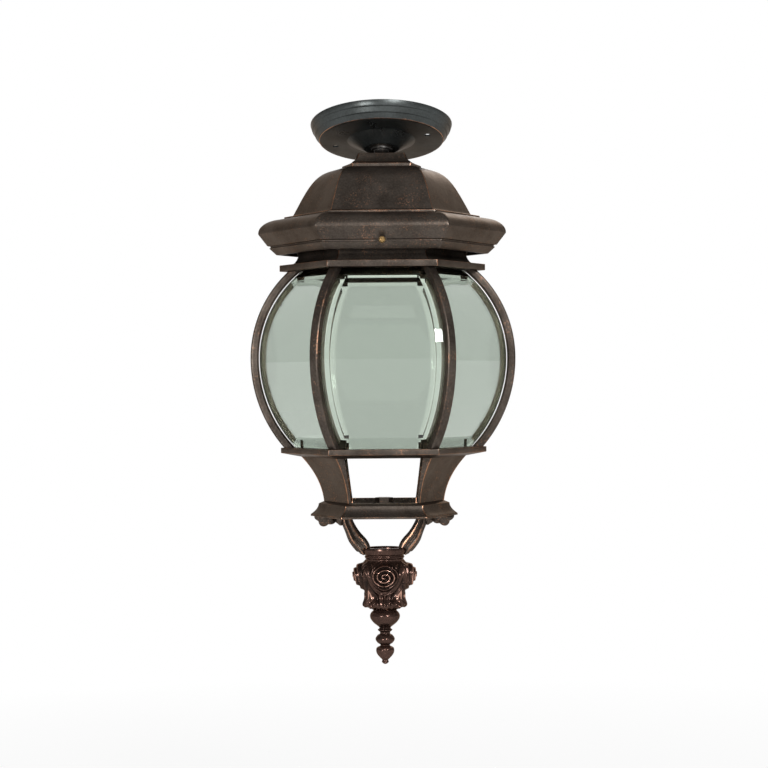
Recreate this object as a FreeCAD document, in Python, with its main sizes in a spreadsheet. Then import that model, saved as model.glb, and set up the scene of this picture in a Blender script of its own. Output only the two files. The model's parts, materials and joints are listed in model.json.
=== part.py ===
import FreeCAD, Part
import math
import os
import Sketcher

# Porch ceiling lantern: a dished ceiling canopy, a ball swivel that lets the lantern hang plumb, a hollow
# six-sided roof, and a glazed cage with an open basket, two scroll arms and a turned finial.
#
# Row frame: millimetres, +Z up, origin at the centre of the canopy's rim, where it meets the ceiling.
# The ceiling slopes, so the canopy is tilted about X, and everything below the swivel hangs plumb.
# A "drop" is a distance below the swivel's centre, and a "reach" is a distance out from the lantern's axis.

DEGREES = "deg"
X_AXIS = FreeCAD.Vector(1, 0, 0)
Y_AXIS = FreeCAD.Vector(0, 1, 0)
Z_AXIS = FreeCAD.Vector(0, 0, 1)
FACE_COUNT = 6
FACE_ANGLE = 360 / FACE_COUNT
FLAT_SHARE = math.cos(math.radians(30))
SCREW_COUNT = 3
FRONT_AZIMUTH = -90
SLANTED_WALL = 1.4

DRIVING_SIZES = {
    # canopy and ceiling
    "ceiling_slope": 14,
    "canopy_radius": 71,
    "canopy_face_radius": 62,
    "canopy_depth": 16.5,
    "canopy_wall": 1.6,
    "canopy_band_step": 1.2,
    "boss_radius": 34,
    "boss_tip_radius": 17,
    "boss_depth": 8.9,
    "screw_circle_radius": 48.3,
    "ceiling_screw_hole_radius": 3,
    "screw_line_turn": -18,
    "running_clearance": 0.1,
    "seat_clearance": 0.05,
    # swivel
    "pivot_depth": 22.9,
    "ball_radius": 9,
    "ball_clearance": 0.25,
    "ball_flat": 6,
    "hub_radius": 5.9,
    "seat_barrel_radius": 10.8,
    "seat_flange_radius": 15.6,
    "seat_lip_drop": 4.6,
    "retainer_rise": 5,
    "retainer_bevel": 1.5,
    "pin_radius": 1.4,
    "pin_clearance": 0.06,
    "pin_start": 6.2,
    "pin_end": 10.5,
    # wiring inside the canopy
    "terminal_length": 24,
    "terminal_width": 12,
    "terminal_height": 8,
    "terminal_reach": 38,
    "earth_stud_radius": 2,
    "earth_stud_length": 8,
    "earth_stud_reach": 44,
    "earth_nut_radius": 3.6,
    "earth_nut_height": 2.4,
    # stem
    "nipple_radius": 5,
    "nipple_bore": 3.5,
    "nipple_rise": 5.5,
    "nipple_end_drop": 54,
    "washer_radius": 11,
    "washer_height": 1.5,
    "nut_corner_radius": 8.7,
    "nut_height": 6,
    # roof
    "roof_wall": 3,
    "roof_lid": 4,
    "collar_top_drop": 8.3,
    "collar_top_reach": 24.7,
    "collar_top_half": 22.6,
    "collar_flare_drop": 13,
    "collar_flare_reach": 26,
    "collar_flare_half": 24,
    "collar_foot_drop": 17.3,
    "collar_foot_reach": 30,
    "collar_foot_half": 28.5,
    "ledge_reach": 39.6,
    "ledge_top_drop": 19.7,
    "ledge_foot_drop": 22.7,
    "shoulder_reach": 66,
    "shoulder_drop": 24.2,
    "flank_reach": 72,
    "flank_drop": 37.2,
    "dome_foot_drop": 68.4,
    "fillet_top_drop": 69.9,
    "fillet_foot_drop": 71.8,
    "ovolo_top_drop": 72.1,
    "eave_drop": 86.1,
    "eave_edge": 0.8,
    "fascia_foot_drop": 98.8,
    "groove_height": 1.8,
    "groove_slant": 0.4,
    "lip_foot_drop": 107.8,
    "lip_overhang": 21.5,
    "groove_step": 6,
    "fascia_step": 3,
    "eave_overhang": 9.2,
    "ovolo_width": 24.2,
    "fillet_step": 2,
    "dome_set_back": 9,
    "roof_side_fullness": 9,
    "roof_side_spare": 4.6,
    "fillet_side_spare": 2.5,
    "eave_side_spare": 1.5,
    # lamp holder
    "holder_cap_drop": 48,
    "holder_cap_reach": 9,
    "holder_radius": 20,
    "holder_shoulder_drop": 60,
    "holder_shoulder_bevel": 5,
    "holder_joint_drop": 66,
    "holder_mouth_drop": 106,
    "holder_wall": 1.6,
    "holder_bore": 14.6,
    "sleeve_bore": 13.3,
    "sleeve_wall": 0.9,
    "sleeve_length": 20,
    "sleeve_gap": 4,
    "insulator_height": 4,
    "contact_radius": 4.5,
    "contact_height": 3,
    # thumbscrews
    "thumbscrew_drop": 99.8,
    "thumbscrew_radius": 2,
    "thumbscrew_head_radius": 3.3,
    "thumbscrew_head_length": 7,
    "thumbscrew_taper": 0.8,
    "thumbscrew_stand_off": 0.4,
    "tip_clearance": 0.3,
    # cage ring
    "flange_overhang": 8.8,
    "neck_set_back": 18.5,
    "cove_step": 1.3,
    "cove_foot_step": 5.5,
    "neck_wall": 4.6,
    "neck_top_drop": 93.5,
    "cove_top_drop": 110.1,
    "cove_drop": 113,
    "cove_foot_drop": 117.3,
    "flange_top_drop": 118.1,
    "flange_height": 6.2,
    "flange_side_spare": 1.7,
    # ribs
    "belly_reach": 132.3,
    "belly_drop": 211.3,
    "upper_rib_radius": 118.2,
    "lower_rib_radius": 136.6,
    "rib_width": 9.3,
    "rib_depth": 7,
    "rib_bevel": 1.4,
    # glazing
    "glass_thickness": 3,
    "glass_clearance": 0.3,
    "glass_gap": 1,
    "stop_ring_height": 7.6,
    "stop_ring_width": 6,
    "retainer_width": 5,
    "retainer_offset": 12.5,
    "retainer_depth": 4.5,
    "retainer_top_drop": 136.9,
    "retainer_foot_drop": 293.8,
    "lug_length": 7,
    "lug_width": 6,
    "lug_height": 4,
    "lug_set_back": 2.1,
    "clip_width": 9,
    "clip_thickness": 2.5,
    "clip_height": 10,
    "clip_set_back": 8.1,
    # lower ring, basket and plate
    "lower_flange_width": 26,
    "basket_set_back": 20.7,
    "basket_pull_set_back": 19.5,
    "lower_flange_drop": 300.2,
    "lower_flange_height": 5.3,
    "lower_flange_slope": 3.8,
    "basket_height": 44.3,
    "basket_pull_drop": 20.9,
    "basket_foot_reach": 60,
    "basket_wall": 3.2,
    "basket_side_spare": 4.9,
    "window_top_half": 38.3,
    "window_foot_half": 32.4,
    "plate_height": 15,
    "plate_step_reach": 65.6,
    "plate_step_drop": 2.4,
    "plate_reach": 73.65,
    "plate_edge": 1.9,
    "plate_cove": 8.05,
    "plate_floor": 3,
    "plate_tray_reach": 56.5,
    "bridge_length": 138,
    "bridge_width": 15,
    "bridge_height": 4,
    "stud_radius": 5,
    "cap_nut_corner_radius": 9,
    "cap_nut_height": 11,
    "stud_grip": 7,
    # scroll arms
    "arm_inner_top": 32.5,
    "arm_outer_top": 43,
    "arm_inner_foot": 10,
    "arm_outer_foot": 29.6,
    "arm_drop": 32,
    "arm_bow_radius": 98,
    "arm_thickness": 10.5,
    "volute_outer_reach": 69.5,
    "volute_inner_reach": 48,
    "volute_radius": 12.2,
    "volute_step": 3,
    "volute_thickness": 17,
    "bead_volute_radius": 4.4,
    "bead_volute_drop": 6.2,
    "arm_overlap": 2,
    # finial
    "cup_rim_radius": 21.6,
    "cup_rim_height": 5.5,
    "cup_bore": 15.5,
    "cup_well_depth": 14,
    "cup_neck_radius": 18.9,
    "cup_neck_drop": 12.5,
    "cup_shoulder_radius": 21.9,
    "cup_shoulder_drop": 17.5,
    "leaf_swell_radius": 13.1,
    "leaf_hollow_radius": 46.7,
    "leaf_radius": 31.1,
    "leaf_drop": 27.3,
    "leaf_waist_radius": 19.3,
    "leaf_waist_drop": 47.7,
    "leaf_tip_radius": 21.6,
    "leaf_tip_drop": 54.5,
    "leaf_foot_radius": 12.5,
    "leaf_foot_drop": 63,
    "vase_radius": 15.2,
    "vase_drop": 6,
    "vase_curve": 10.6,
    "vase_hollow_curve": 18.2,
    "vase_foot_radius": 5.5,
    "vase_foot_drop": 16.8,
    "collar_radius": 7.4,
    "collar_drop": 19.2,
    "bead_neck_radius": 5.3,
    "bead_neck_drop": 23.3,
    "bead_radius": 9.6,
    "bead_curve": 7.7,
    "bead_drop": 28.5,
    "bud_neck_radius": 4.7,
    "bud_neck_drop": 34.3,
    "bud_radius": 9.3,
    "bud_drop": 40.2,
    "tip_neck_radius": 2.9,
    "tip_neck_drop": 49.5,
    "tip_radius": 3.6,
    "tip_drop": 51.2,
    "tip_end_drop": 53.8,
    "tang_radius": 4,
    "tang_length": 24,
}

# sizes that follow from the driving ones, each a sheet formula of sizes above it
DERIVED_SIZES = {
    "rib_top_drop": "flange_top_drop + flange_height",
    "rib_top_rise": "belly_drop - rib_top_drop",
    "rib_top_reach": "belly_reach - upper_rib_radius + sqrt(upper_rib_radius ^ 2 - rib_top_rise ^ 2)",
    "flange_reach": "rib_top_reach + flange_overhang",
    "neck_reach": "flange_reach - neck_set_back",
    "cove_reach": "neck_reach + cove_step",
    "cove_foot_reach": "neck_reach + cove_foot_step",
    "lip_reach": "neck_reach + lip_overhang",
    "groove_reach": "lip_reach + groove_step",
    "fascia_reach": "groove_reach + fascia_step",
    "eave_reach": "fascia_reach + eave_overhang",
    "ovolo_reach": "eave_reach - ovolo_width",
    "fillet_reach": "ovolo_reach - fillet_step",
    "dome_foot_reach": "fillet_reach - dome_set_back",
    "lower_flange_inner_reach": "flange_reach - lower_flange_width",
    "basket_top_reach": "flange_reach - basket_set_back",
    "basket_pull_reach": "basket_top_reach - basket_pull_set_back",
}

document = FreeCAD.newDocument("porch_ceiling_lantern")


class Size:
    """A number, with the spreadsheet formula that gives it."""

    def __init__(self, value, formula):
        self.value = float(value)
        self.formula = formula

    def __add__(self, other):
        return joined(self, other, "+", self.value + as_size(other).value)

    def __radd__(self, other):
        return as_size(other) + self

    def __sub__(self, other):
        return joined(self, other, "-", self.value - as_size(other).value)

    def __rsub__(self, other):
        return as_size(other) - self

    def __mul__(self, other):
        return joined(self, other, "*", self.value * as_size(other).value)

    def __rmul__(self, other):
        return as_size(other) * self

    def __truediv__(self, other):
        return joined(self, other, "/", self.value / as_size(other).value)

    def __neg__(self):
        return Size(-self.value, f"(0 - {self.formula})")


def as_size(number):
    if isinstance(number, Size):
        return number
    return Size(number, f"({float(number):.9f})")


def joined(left, right, sign, value):
    return Size(value, f"({left.formula} {sign} {as_size(right).formula})")


def root(size):
    return Size(math.sqrt(size.value), f"sqrt({size.formula})")


def sine(angle):
    return Size(math.sin(math.radians(angle.value)), f"sin({angle.formula} * 1 {DEGREES})")


def cosine(angle):
    return Size(math.cos(math.radians(angle.value)), f"cos({angle.formula} * 1 {DEGREES})")


def fill_sheet():
    """The spreadsheet of sizes: a name in column A and its number or formula, with an alias, in column B."""
    sheet = document.addObject("Spreadsheet::Sheet", "Sizes")
    for row, (alias, number) in enumerate(DRIVING_SIZES.items(), start=1):
        sheet.set(f"A{row}", alias)
        sheet.set(f"B{row}", str(number))
        sheet.setAlias(f"B{row}", alias)
    for row, (alias, formula) in enumerate(DERIVED_SIZES.items(), start=len(DRIVING_SIZES) + 1):
        sheet.set(f"A{row}", alias)
        sheet.set(f"B{row}", f"={formula}")
        sheet.setAlias(f"B{row}", alias)
    document.recompute()
    return sheet


class SizeBook:
    """Every size by its name, with its value and its place in the sheet."""

    def __init__(self, sheet):
        for alias in (*DRIVING_SIZES, *DERIVED_SIZES):
            setattr(self, alias, Size(sheet.get(alias), f"Sizes.{alias}"))


S = SizeBook(fill_sheet())
sub_parts = []


# ---------------------------------------------------------------- helpers

def bind(item, path, size):
    item.setExpression(path, as_size(size).formula)


def bind_angle(item, path, size):
    item.setExpression(path, f"{as_size(size).formula} * 1 {DEGREES}")


def new_body(label):
    body = document.addObject("PartDesign::Body", label)
    body.Label = label
    return body


def new_sketch(body, name, plane, height=None):
    """A sketch on one of the body's own origin planes, raised along the plane's normal."""
    sketch = body.newObject("Sketcher::SketchObject", name)
    support = [item for item in body.Origin.OriginFeatures if item.Role == plane]
    sketch.AttachmentSupport = [(support[0], "")]
    sketch.MapMode = "FlatFace"
    if height is not None:
        lift = FreeCAD.Vector(0, 0, as_size(height).value)
        sketch.AttachmentOffset = FreeCAD.Placement(lift, FreeCAD.Rotation())
        bind(sketch, "AttachmentOffset.Base.z", height)
    return sketch


def pin_point(sketch, geometry, end, across, up):
    """Hold one end of a sketch line at two sizes measured from the sketch's origin."""
    for kind, axis, size in (("DistanceX", -2, as_size(across)), ("DistanceY", -1, as_size(up))):
        if abs(size.value) < 1e-9:
            sketch.addConstraint(Sketcher.Constraint("PointOnObject", geometry, end, axis))
        else:
            index = sketch.addConstraint(Sketcher.Constraint(kind, -1, 1, geometry, end, size.value))
            bind(sketch, f"Constraints[{index}]", size)


def arc_through(start, end, radius, bulges_left):
    """The short arc from start to end, with its middle to the left or right of the straight way."""
    chord = end.sub(start)
    half = chord.Length / 2
    reach = math.sqrt(max(radius * radius - half * half, 0.0))
    sideways = FreeCAD.Vector(-chord.y, chord.x, 0).normalize()
    away = -1 if bulges_left else 1
    centre = start.add(end).multiply(0.5).add(sideways.multiply(away * reach))
    first, last = (end, start) if bulges_left else (start, end)
    angles = [math.atan2(point.y - centre.y, point.x - centre.x) for point in (first, last)]
    return Part.ArcOfCircle(Part.Circle(centre, Z_AXIS, radius), angles[0], angles[1])


def outline(sketch, corners, arcs=None):
    """A closed outline through corners. arcs maps a corner's number to the radius of the arc that
    leaves it: a positive radius bulges to the right of the way round, a negative one to the left."""
    arcs = arcs or {}
    count = len(corners)
    base = sketch.GeometryCount
    points = [FreeCAD.Vector(as_size(x).value, as_size(y).value, 0) for x, y in corners]
    starts = []
    ends = []
    for number in range(count):
        start = points[number]
        end = points[(number + 1) % count]
        if number in arcs:
            radius = as_size(arcs[number])
            bulges_left = radius.value < 0
            sketch.addGeometry(arc_through(start, end, abs(radius.value), bulges_left), False)
            starts.append(2 if bulges_left else 1)
            ends.append(1 if bulges_left else 2)
        else:
            sketch.addGeometry(Part.LineSegment(start, end), False)
            starts.append(1)
            ends.append(2)
    for number in range(count):
        following = (number + 1) % count
        sketch.addConstraint(Sketcher.Constraint(
            "Coincident", base + number, ends[number], base + following, starts[following]))
    for number in range(count):
        pin_point(sketch, base + number, starts[number], *corners[number])
    for number, radius in arcs.items():
        size = as_size(radius)
        positive = -size if size.value < 0 else size
        index = sketch.addConstraint(Sketcher.Constraint("Radius", base + number, positive.value))
        bind(sketch, f"Constraints[{index}]", positive)


def circle(sketch, across, up, radius):
    radius = as_size(radius)
    centre = FreeCAD.Vector(as_size(across).value, as_size(up).value, 0)
    index = sketch.addGeometry(Part.Circle(centre, Z_AXIS, radius.value), False)
    pin_point(sketch, index, 3, across, up)
    constraint = sketch.addConstraint(Sketcher.Constraint("Radius", index, radius.value))
    bind(sketch, f"Constraints[{constraint}]", radius)


def revolve(body, corners, arcs=None, name="turned"):
    """A turned solid from a half outline in the upright plane: reach across, height up."""
    sketch = new_sketch(body, f"{name}_outline", "XZ_Plane")
    outline(sketch, corners, arcs)
    feature = body.newObject("PartDesign::Revolution", name)
    feature.Profile = sketch
    feature.ReferenceAxis = (sketch, ["V_Axis"])
    feature.Angle = 360
    return feature


def pad(body, sketch, length, name="pad", side="One side", reverse=False):
    feature = body.newObject("PartDesign::Pad", name)
    feature.Profile = sketch
    feature.SideType = side
    feature.Reversed = reverse
    feature.Length = as_size(length).value
    bind(feature, "Length", length)
    return feature


def cut(body, sketch, length=None, name="cut", side="One side", reverse=False):
    """A pocket of a given length, or through everything, that has to remove some of the solid."""
    before = solid_volume(body)
    feature = body.newObject("PartDesign::Pocket", name)
    feature.Profile = sketch
    feature.SideType = side
    feature.Reversed = reverse
    if length is None:
        feature.Type = "ThroughAll"
    else:
        feature.Length = as_size(length).value
        bind(feature, "Length", length)
    document.recompute()
    if solid_volume(body) >= before - 1e-3:
        raise RuntimeError(f"{body.Label}: {name} cuts nothing")
    return feature


def solid_volume(body):
    document.recompute()
    return body.Tip.Shape.Volume


def turn_copies(body, feature, count, name="round_pattern"):
    """The feature repeated round the upright axis."""
    upright = [item for item in body.Origin.OriginFeatures if item.Role == "Z_Axis"]
    pattern = body.newObject("PartDesign::PolarPattern", name)
    pattern.Originals = [feature]
    pattern.Axis = (upright[0], [""])
    pattern.Angle = 360
    pattern.Occurrences = count
    body.Tip = pattern
    return pattern


def hexagon_corners(reach, half, flat):
    """Six corners: points at either side, and a front and a back edge that run from -half to +half."""
    return [(reach, 0), (half, flat), (-half, flat), (-reach, 0), (-half, -flat), (half, -flat)]


def hexagon(reach, spare=0.0):
    """Corner reach, half width of the front face and its distance, a little wider than regular."""
    reach = as_size(reach)
    return reach, reach / 2 + spare, reach * FLAT_SHARE


def hexagon_loft(body, sections, name, ruled=True, subtract=False):
    """A loft through level hexagons, each given as (drop, (reach, half, flat))."""
    sketches = []
    for number, (drop, sizes) in enumerate(sections, start=1):
        sketch = new_sketch(body, f"{name}_section_{number}", "XY_Plane", -as_size(drop))
        outline(sketch, hexagon_corners(*sizes))
        sketches.append(sketch)
    kind = "PartDesign::SubtractiveLoft" if subtract else "PartDesign::AdditiveLoft"
    feature = body.newObject(kind, name)
    feature.Profile = sketches[0]
    feature.Sections = sketches[1:]
    feature.Ruled = ruled
    return feature


def keep(item, label, turn=0.0):
    """Hang a finished sub-part from the swivel's centre, turned round the lantern's axis."""
    item.Label = label
    item.Placement = FreeCAD.Placement(FreeCAD.Vector(), FreeCAD.Rotation(Z_AXIS, turn))
    bind(item, "Placement.Base.y", -S.pivot_depth * sine(S.ceiling_slope))
    bind(item, "Placement.Base.z", -S.pivot_depth * cosine(S.ceiling_slope))
    sub_parts.append(item)


def keep_on_canopy(item, label):
    """Place a finished sub-part in the sloping canopy's frame, measured from its rim."""
    item.Label = label
    item.Placement = FreeCAD.Placement(FreeCAD.Vector(), FreeCAD.Rotation(X_AXIS, -S.ceiling_slope.value))
    bind_angle(item, "Placement.Rotation.Angle", -S.ceiling_slope)
    sub_parts.append(item)


def keep_on_seat(item, label):
    """Place a finished sub-part in the canopy's slope, measured from the swivel's centre."""
    keep_on_canopy(item, label)
    bind(item, "Placement.Base.y", -S.pivot_depth * sine(S.ceiling_slope))
    bind(item, "Placement.Base.z", -S.pivot_depth * cosine(S.ceiling_slope))


def cylinder(name, radius, length, base, direction):
    """A rod of given radius that runs from base along direction."""
    rod = document.addObject("Part::Cylinder", name)
    bind(rod, "Radius", radius)
    bind(rod, "Height", length)
    rod.Placement = FreeCAD.Placement(FreeCAD.Vector(), FreeCAD.Rotation(Z_AXIS, direction))
    for letter, size in zip("xyz", base):
        bind(rod, f"Placement.Base.{letter}", size)
    return rod


def group(label, members):
    """Like pieces that share one node, each a solid of its own."""
    compound = document.addObject("Part::Compound", label)
    compound.Links = members
    return compound


# ---------------------------------------------------------------- canopy and swivel

def make_canopy_dish():
    """Spun dish: three stepped bands up its side, a flat face and a shallow boss with the swivel's hole."""
    body = new_body("canopy_dish")
    wall = S.canopy_wall
    hole = S.seat_barrel_radius + S.running_clearance
    tip_depth = S.canopy_depth + S.boss_depth
    band = S.canopy_depth / 3
    slope = (S.canopy_radius - S.canopy_face_radius) / 3
    step = S.canopy_band_step
    corners = [(S.canopy_radius, 0)]
    for number in range(1, 3):
        reach = S.canopy_radius - slope * number
        corners.append((reach + step, -band * number))
        corners.append((reach, -band * number - step / 2))
    corners += [
        (S.canopy_face_radius, -S.canopy_depth),
        (S.boss_radius, -S.canopy_depth),
        (S.boss_tip_radius, -tip_depth),
        (hole, -tip_depth),
        (hole, -tip_depth + wall),
        (S.boss_tip_radius - wall / 2, -tip_depth + wall),
        (S.boss_radius - wall / 2, -S.canopy_depth + wall),
        (S.canopy_face_radius - wall, -S.canopy_depth + wall),
        (S.canopy_radius - wall * 2, 0),
    ]
    revolve(body, corners, name="dish")
    sketch = new_sketch(body, "ceiling_screw_holes", "XY_Plane")
    for side in (1, -1):
        across = cosine(S.screw_line_turn) * S.screw_circle_radius * side
        along = sine(S.screw_line_turn) * S.screw_circle_radius * side
        circle(sketch, across, along, S.ceiling_screw_hole_radius)
    cut(body, sketch, name="screw_holes")
    keep_on_canopy(body, "canopy_dish")


def make_terminal_block():
    """Three-way terminal block on the canopy's floor, with an entry hole on each side of each way."""
    body = new_body("terminal_block")
    floor = -S.canopy_depth + S.canopy_wall
    sketch = new_sketch(body, "block_outline", "XY_Plane", floor)
    half = S.terminal_length / 2
    near = -S.terminal_reach - S.terminal_width / 2
    far = -S.terminal_reach + S.terminal_width / 2
    outline(sketch, [(-half, near), (half, near), (half, far), (-half, far)])
    pad(body, sketch, S.terminal_height, name="block")
    entries = new_sketch(body, "entries", "XZ_Plane")
    for way in (-1, 0, 1):
        circle(entries, S.terminal_length / 3 * way, floor + S.terminal_height / 2, S.terminal_height / 4)
    cut(body, entries, name="entry_holes", reverse=True)
    keep_on_canopy(body, "terminal_block")


def make_earth_stud():
    """Earth stud that stands on the canopy's floor, with its nut."""
    body = new_body("earth_stud")
    floor = -S.canopy_depth + S.canopy_wall
    shank = new_sketch(body, "shank_outline", "XY_Plane", floor)
    circle(shank, 0, S.earth_stud_reach, S.earth_stud_radius)
    pad(body, shank, S.earth_stud_length, name="shank")
    nut = new_sketch(body, "nut_outline", "XY_Plane", floor)
    circle(nut, 0, S.earth_stud_reach, S.earth_nut_radius)
    pad(body, nut, S.earth_nut_height, name="nut")
    keep_on_canopy(body, "earth_stud")


def socket_reach(height):
    """Radius of the ball's socket at a height above the swivel's centre."""
    socket = S.ball_radius + S.ball_clearance
    return root(socket * socket - height * height)


def drill_pin_holes(body, reach):
    sketch = new_sketch(body, "pin_hole_outline", "YZ_Plane")
    circle(sketch, 0, 0, reach)
    cut(body, sketch, (S.pin_end + S.running_clearance) * 2, name="pin_holes", side="Symmetric")


def make_swivel_seat():
    """Flanged cup that turns in the canopy's hole and carries the ball below its middle."""
    body = new_body("swivel_seat")
    floor = S.pivot_depth - (S.canopy_depth + S.boss_depth - S.canopy_wall) + S.seat_clearance
    lip = S.seat_lip_drop
    socket = S.ball_radius + S.ball_clearance
    corners = [
        (socket_reach(-lip), -lip),
        (S.seat_barrel_radius, -lip),
        (S.seat_barrel_radius, floor),
        (S.seat_flange_radius, floor),
        (S.seat_flange_radius, 0),
        (socket, 0),
    ]
    revolve(body, corners, {5: -socket}, name="seat")
    drill_pin_holes(body, S.pin_radius + S.pin_clearance)
    keep_on_seat(body, "swivel_seat")


def make_swivel_retainer():
    """Ring above the ball that closes the cup."""
    body = new_body("swivel_retainer")
    rise = S.retainer_rise
    socket = S.ball_radius + S.ball_clearance
    corners = [
        (socket, 0),
        (S.seat_flange_radius, 0),
        (S.seat_flange_radius, rise - S.retainer_bevel),
        (S.seat_flange_radius - S.retainer_bevel, rise),
        (socket_reach(rise), rise),
    ]
    revolve(body, corners, {4: -socket}, name="ring")
    drill_pin_holes(body, S.pin_radius + S.pin_clearance)
    keep_on_seat(body, "swivel_retainer")


def make_swivel_ball():
    """Ball with a flat top, and a hub that stands on the roof's collar."""
    body = new_body("swivel_ball")
    bore = S.nipple_radius + S.seat_clearance
    flat = S.ball_flat
    radius = S.ball_radius
    crown = root(radius * radius - flat * flat)
    hub_drop = root(radius * radius - S.hub_radius * S.hub_radius)
    corners = [
        (bore, flat),
        (bore, -S.collar_top_drop),
        (S.hub_radius, -S.collar_top_drop),
        (S.hub_radius, -hub_drop),
        (crown, flat),
    ]
    revolve(body, corners, {3: radius}, name="ball")
    sketch = new_sketch(body, "pin_hole_outline", "YZ_Plane")
    circle(sketch, 0, 0, S.pin_radius + S.seat_clearance)
    cut(body, sketch, name="pin_holes", side="Symmetric")
    keep(body, "swivel_ball")


def make_swivel_pins():
    """Two pins, one on each side of the ball, that let it tilt in the seat and turn with it."""
    pins = []
    for side in (1, -1):
        start = S.pin_start if side == 1 else -S.pin_end
        pins.append(cylinder(
            f"swivel_pin_{len(pins) + 1}", S.pin_radius, S.pin_end - S.pin_start, (start, 0, 0), X_AXIS))
    keep(group("swivel_pins", pins), "swivel_pins")


# ---------------------------------------------------------------- stem and lamp holder

def make_stem():
    """Threaded tube from the ball down to the lamp holder, with the washer and nut under the collar."""
    tube = new_body("stem_nipple")
    corners = [
        (S.nipple_bore, S.nipple_rise),
        (S.nipple_bore, -S.nipple_end_drop),
        (S.nipple_radius, -S.nipple_end_drop),
        (S.nipple_radius, S.nipple_rise),
    ]
    revolve(tube, corners, name="tube")
    keep(tube, "stem_nipple")
    lid_foot = S.collar_top_drop + S.roof_lid
    bore = S.nipple_radius + S.seat_clearance
    washer = new_body("stem_washer")
    top = -lid_foot
    foot = top - S.washer_height
    revolve(washer, [(bore, top), (bore, foot), (S.washer_radius, foot), (S.washer_radius, top)], name="disc")
    keep(washer, "stem_washer")
    nut = new_body("stem_nut")
    sketch = new_sketch(nut, "nut_outline", "XY_Plane", foot)
    outline(sketch, hexagon_corners(*hexagon(S.nut_corner_radius)))
    circle(sketch, 0, 0, bore)
    pad(nut, sketch, S.nut_height, name="nut", reverse=True)
    keep(nut, "stem_nut")


def make_lamp_holder():
    """Domed cap, hollow holder, threaded sleeve, insulator and centre contact."""
    bore = S.nipple_radius + S.seat_clearance
    wall = S.holder_wall
    cap = new_body("lampholder_cap")
    revolve(cap, [
        (bore, -S.holder_cap_drop),
        (bore, -S.holder_cap_drop - wall * 2),
        (S.holder_cap_reach, -S.holder_cap_drop - wall * 2),
        (S.holder_radius - wall, -S.holder_shoulder_drop - wall),
        (S.holder_radius - wall, -S.holder_joint_drop),
        (S.holder_radius, -S.holder_joint_drop),
        (S.holder_radius, -S.holder_shoulder_drop),
        (S.holder_radius - S.holder_shoulder_bevel, -S.holder_shoulder_drop + S.holder_shoulder_bevel),
        (S.holder_cap_reach, -S.holder_cap_drop),
    ], name="cap")
    keep(cap, "lampholder_cap")

    holder = new_body("lampholder_body")
    sleeve_drop = S.holder_mouth_drop - S.sleeve_length
    insulator_foot = S.sleeve_gap - sleeve_drop
    floor_drop = sleeve_drop - S.sleeve_gap - S.insulator_height
    mouth = -S.holder_mouth_drop
    revolve(holder, [
        (S.holder_bore, -floor_drop),
        (S.holder_bore, mouth),
        (S.holder_radius - wall, mouth),
        (S.holder_radius - wall, mouth + wall * 3),
        (S.holder_radius, mouth + wall * 4),
        (S.holder_radius, -S.holder_joint_drop),
        (bore, -S.holder_joint_drop),
        (bore, -floor_drop),
    ], name="barrel")
    keep(holder, "lampholder_body")

    insulator = new_body("lampholder_insulator")
    seat = S.holder_bore - S.seat_clearance
    revolve(insulator, [
        (0, -floor_drop),
        (0, insulator_foot),
        (seat, insulator_foot),
        (seat, -floor_drop),
    ], name="disc")
    keep(insulator, "lampholder_insulator")

    sleeve = new_body("lampholder_sleeve")
    revolve(sleeve, [
        (S.sleeve_bore, -sleeve_drop),
        (S.sleeve_bore, mouth),
        (S.sleeve_bore + S.sleeve_wall, mouth),
        (S.sleeve_bore + S.sleeve_wall, -sleeve_drop),
    ], name="tube")
    keep(sleeve, "lampholder_sleeve")

    contact = new_body("lampholder_contact")
    revolve(contact, [
        (0, insulator_foot),
        (0, insulator_foot - S.contact_height),
        (S.contact_radius, insulator_foot - S.contact_height / 3),
        (S.contact_radius, insulator_foot),
    ], name="button")
    keep(contact, "lampholder_contact")


# ---------------------------------------------------------------- roof

def blend(start, first_pull, second_pull, end, share):
    """A point of the cubic curve between two ends and the two points that pull on it."""
    rest = 1 - share
    return (start * rest ** 3 + first_pull * (3 * rest ** 2 * share)
            + second_pull * (3 * rest * share ** 2) + end * share ** 3)


def dome_section(share, inset=0.0):
    """Level hexagon on the dome, from its ledge at share 0 to its foot at share 1."""
    reach = blend(S.ledge_reach, S.shoulder_reach, S.flank_reach, S.dome_foot_reach, share)
    drop = blend(S.ledge_foot_drop, S.shoulder_drop, S.flank_drop, S.dome_foot_drop, share)
    spare = S.roof_side_fullness * (1 - share) + S.roof_side_spare * share
    reach = reach - inset
    return drop, (reach, reach / 2 + spare, reach * FLAT_SHARE)


def ovolo_section(angle):
    """Level hexagon on the rounded eave: a quarter oval from its top to its widest edge."""
    turn = math.radians(angle)
    reach = S.ovolo_reach + (S.eave_reach - S.ovolo_reach) * math.sin(turn)
    drop = S.ovolo_top_drop + (S.eave_drop - S.ovolo_top_drop) * (1 - math.cos(turn))
    return drop, hexagon(reach, S.eave_side_spare)


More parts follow.
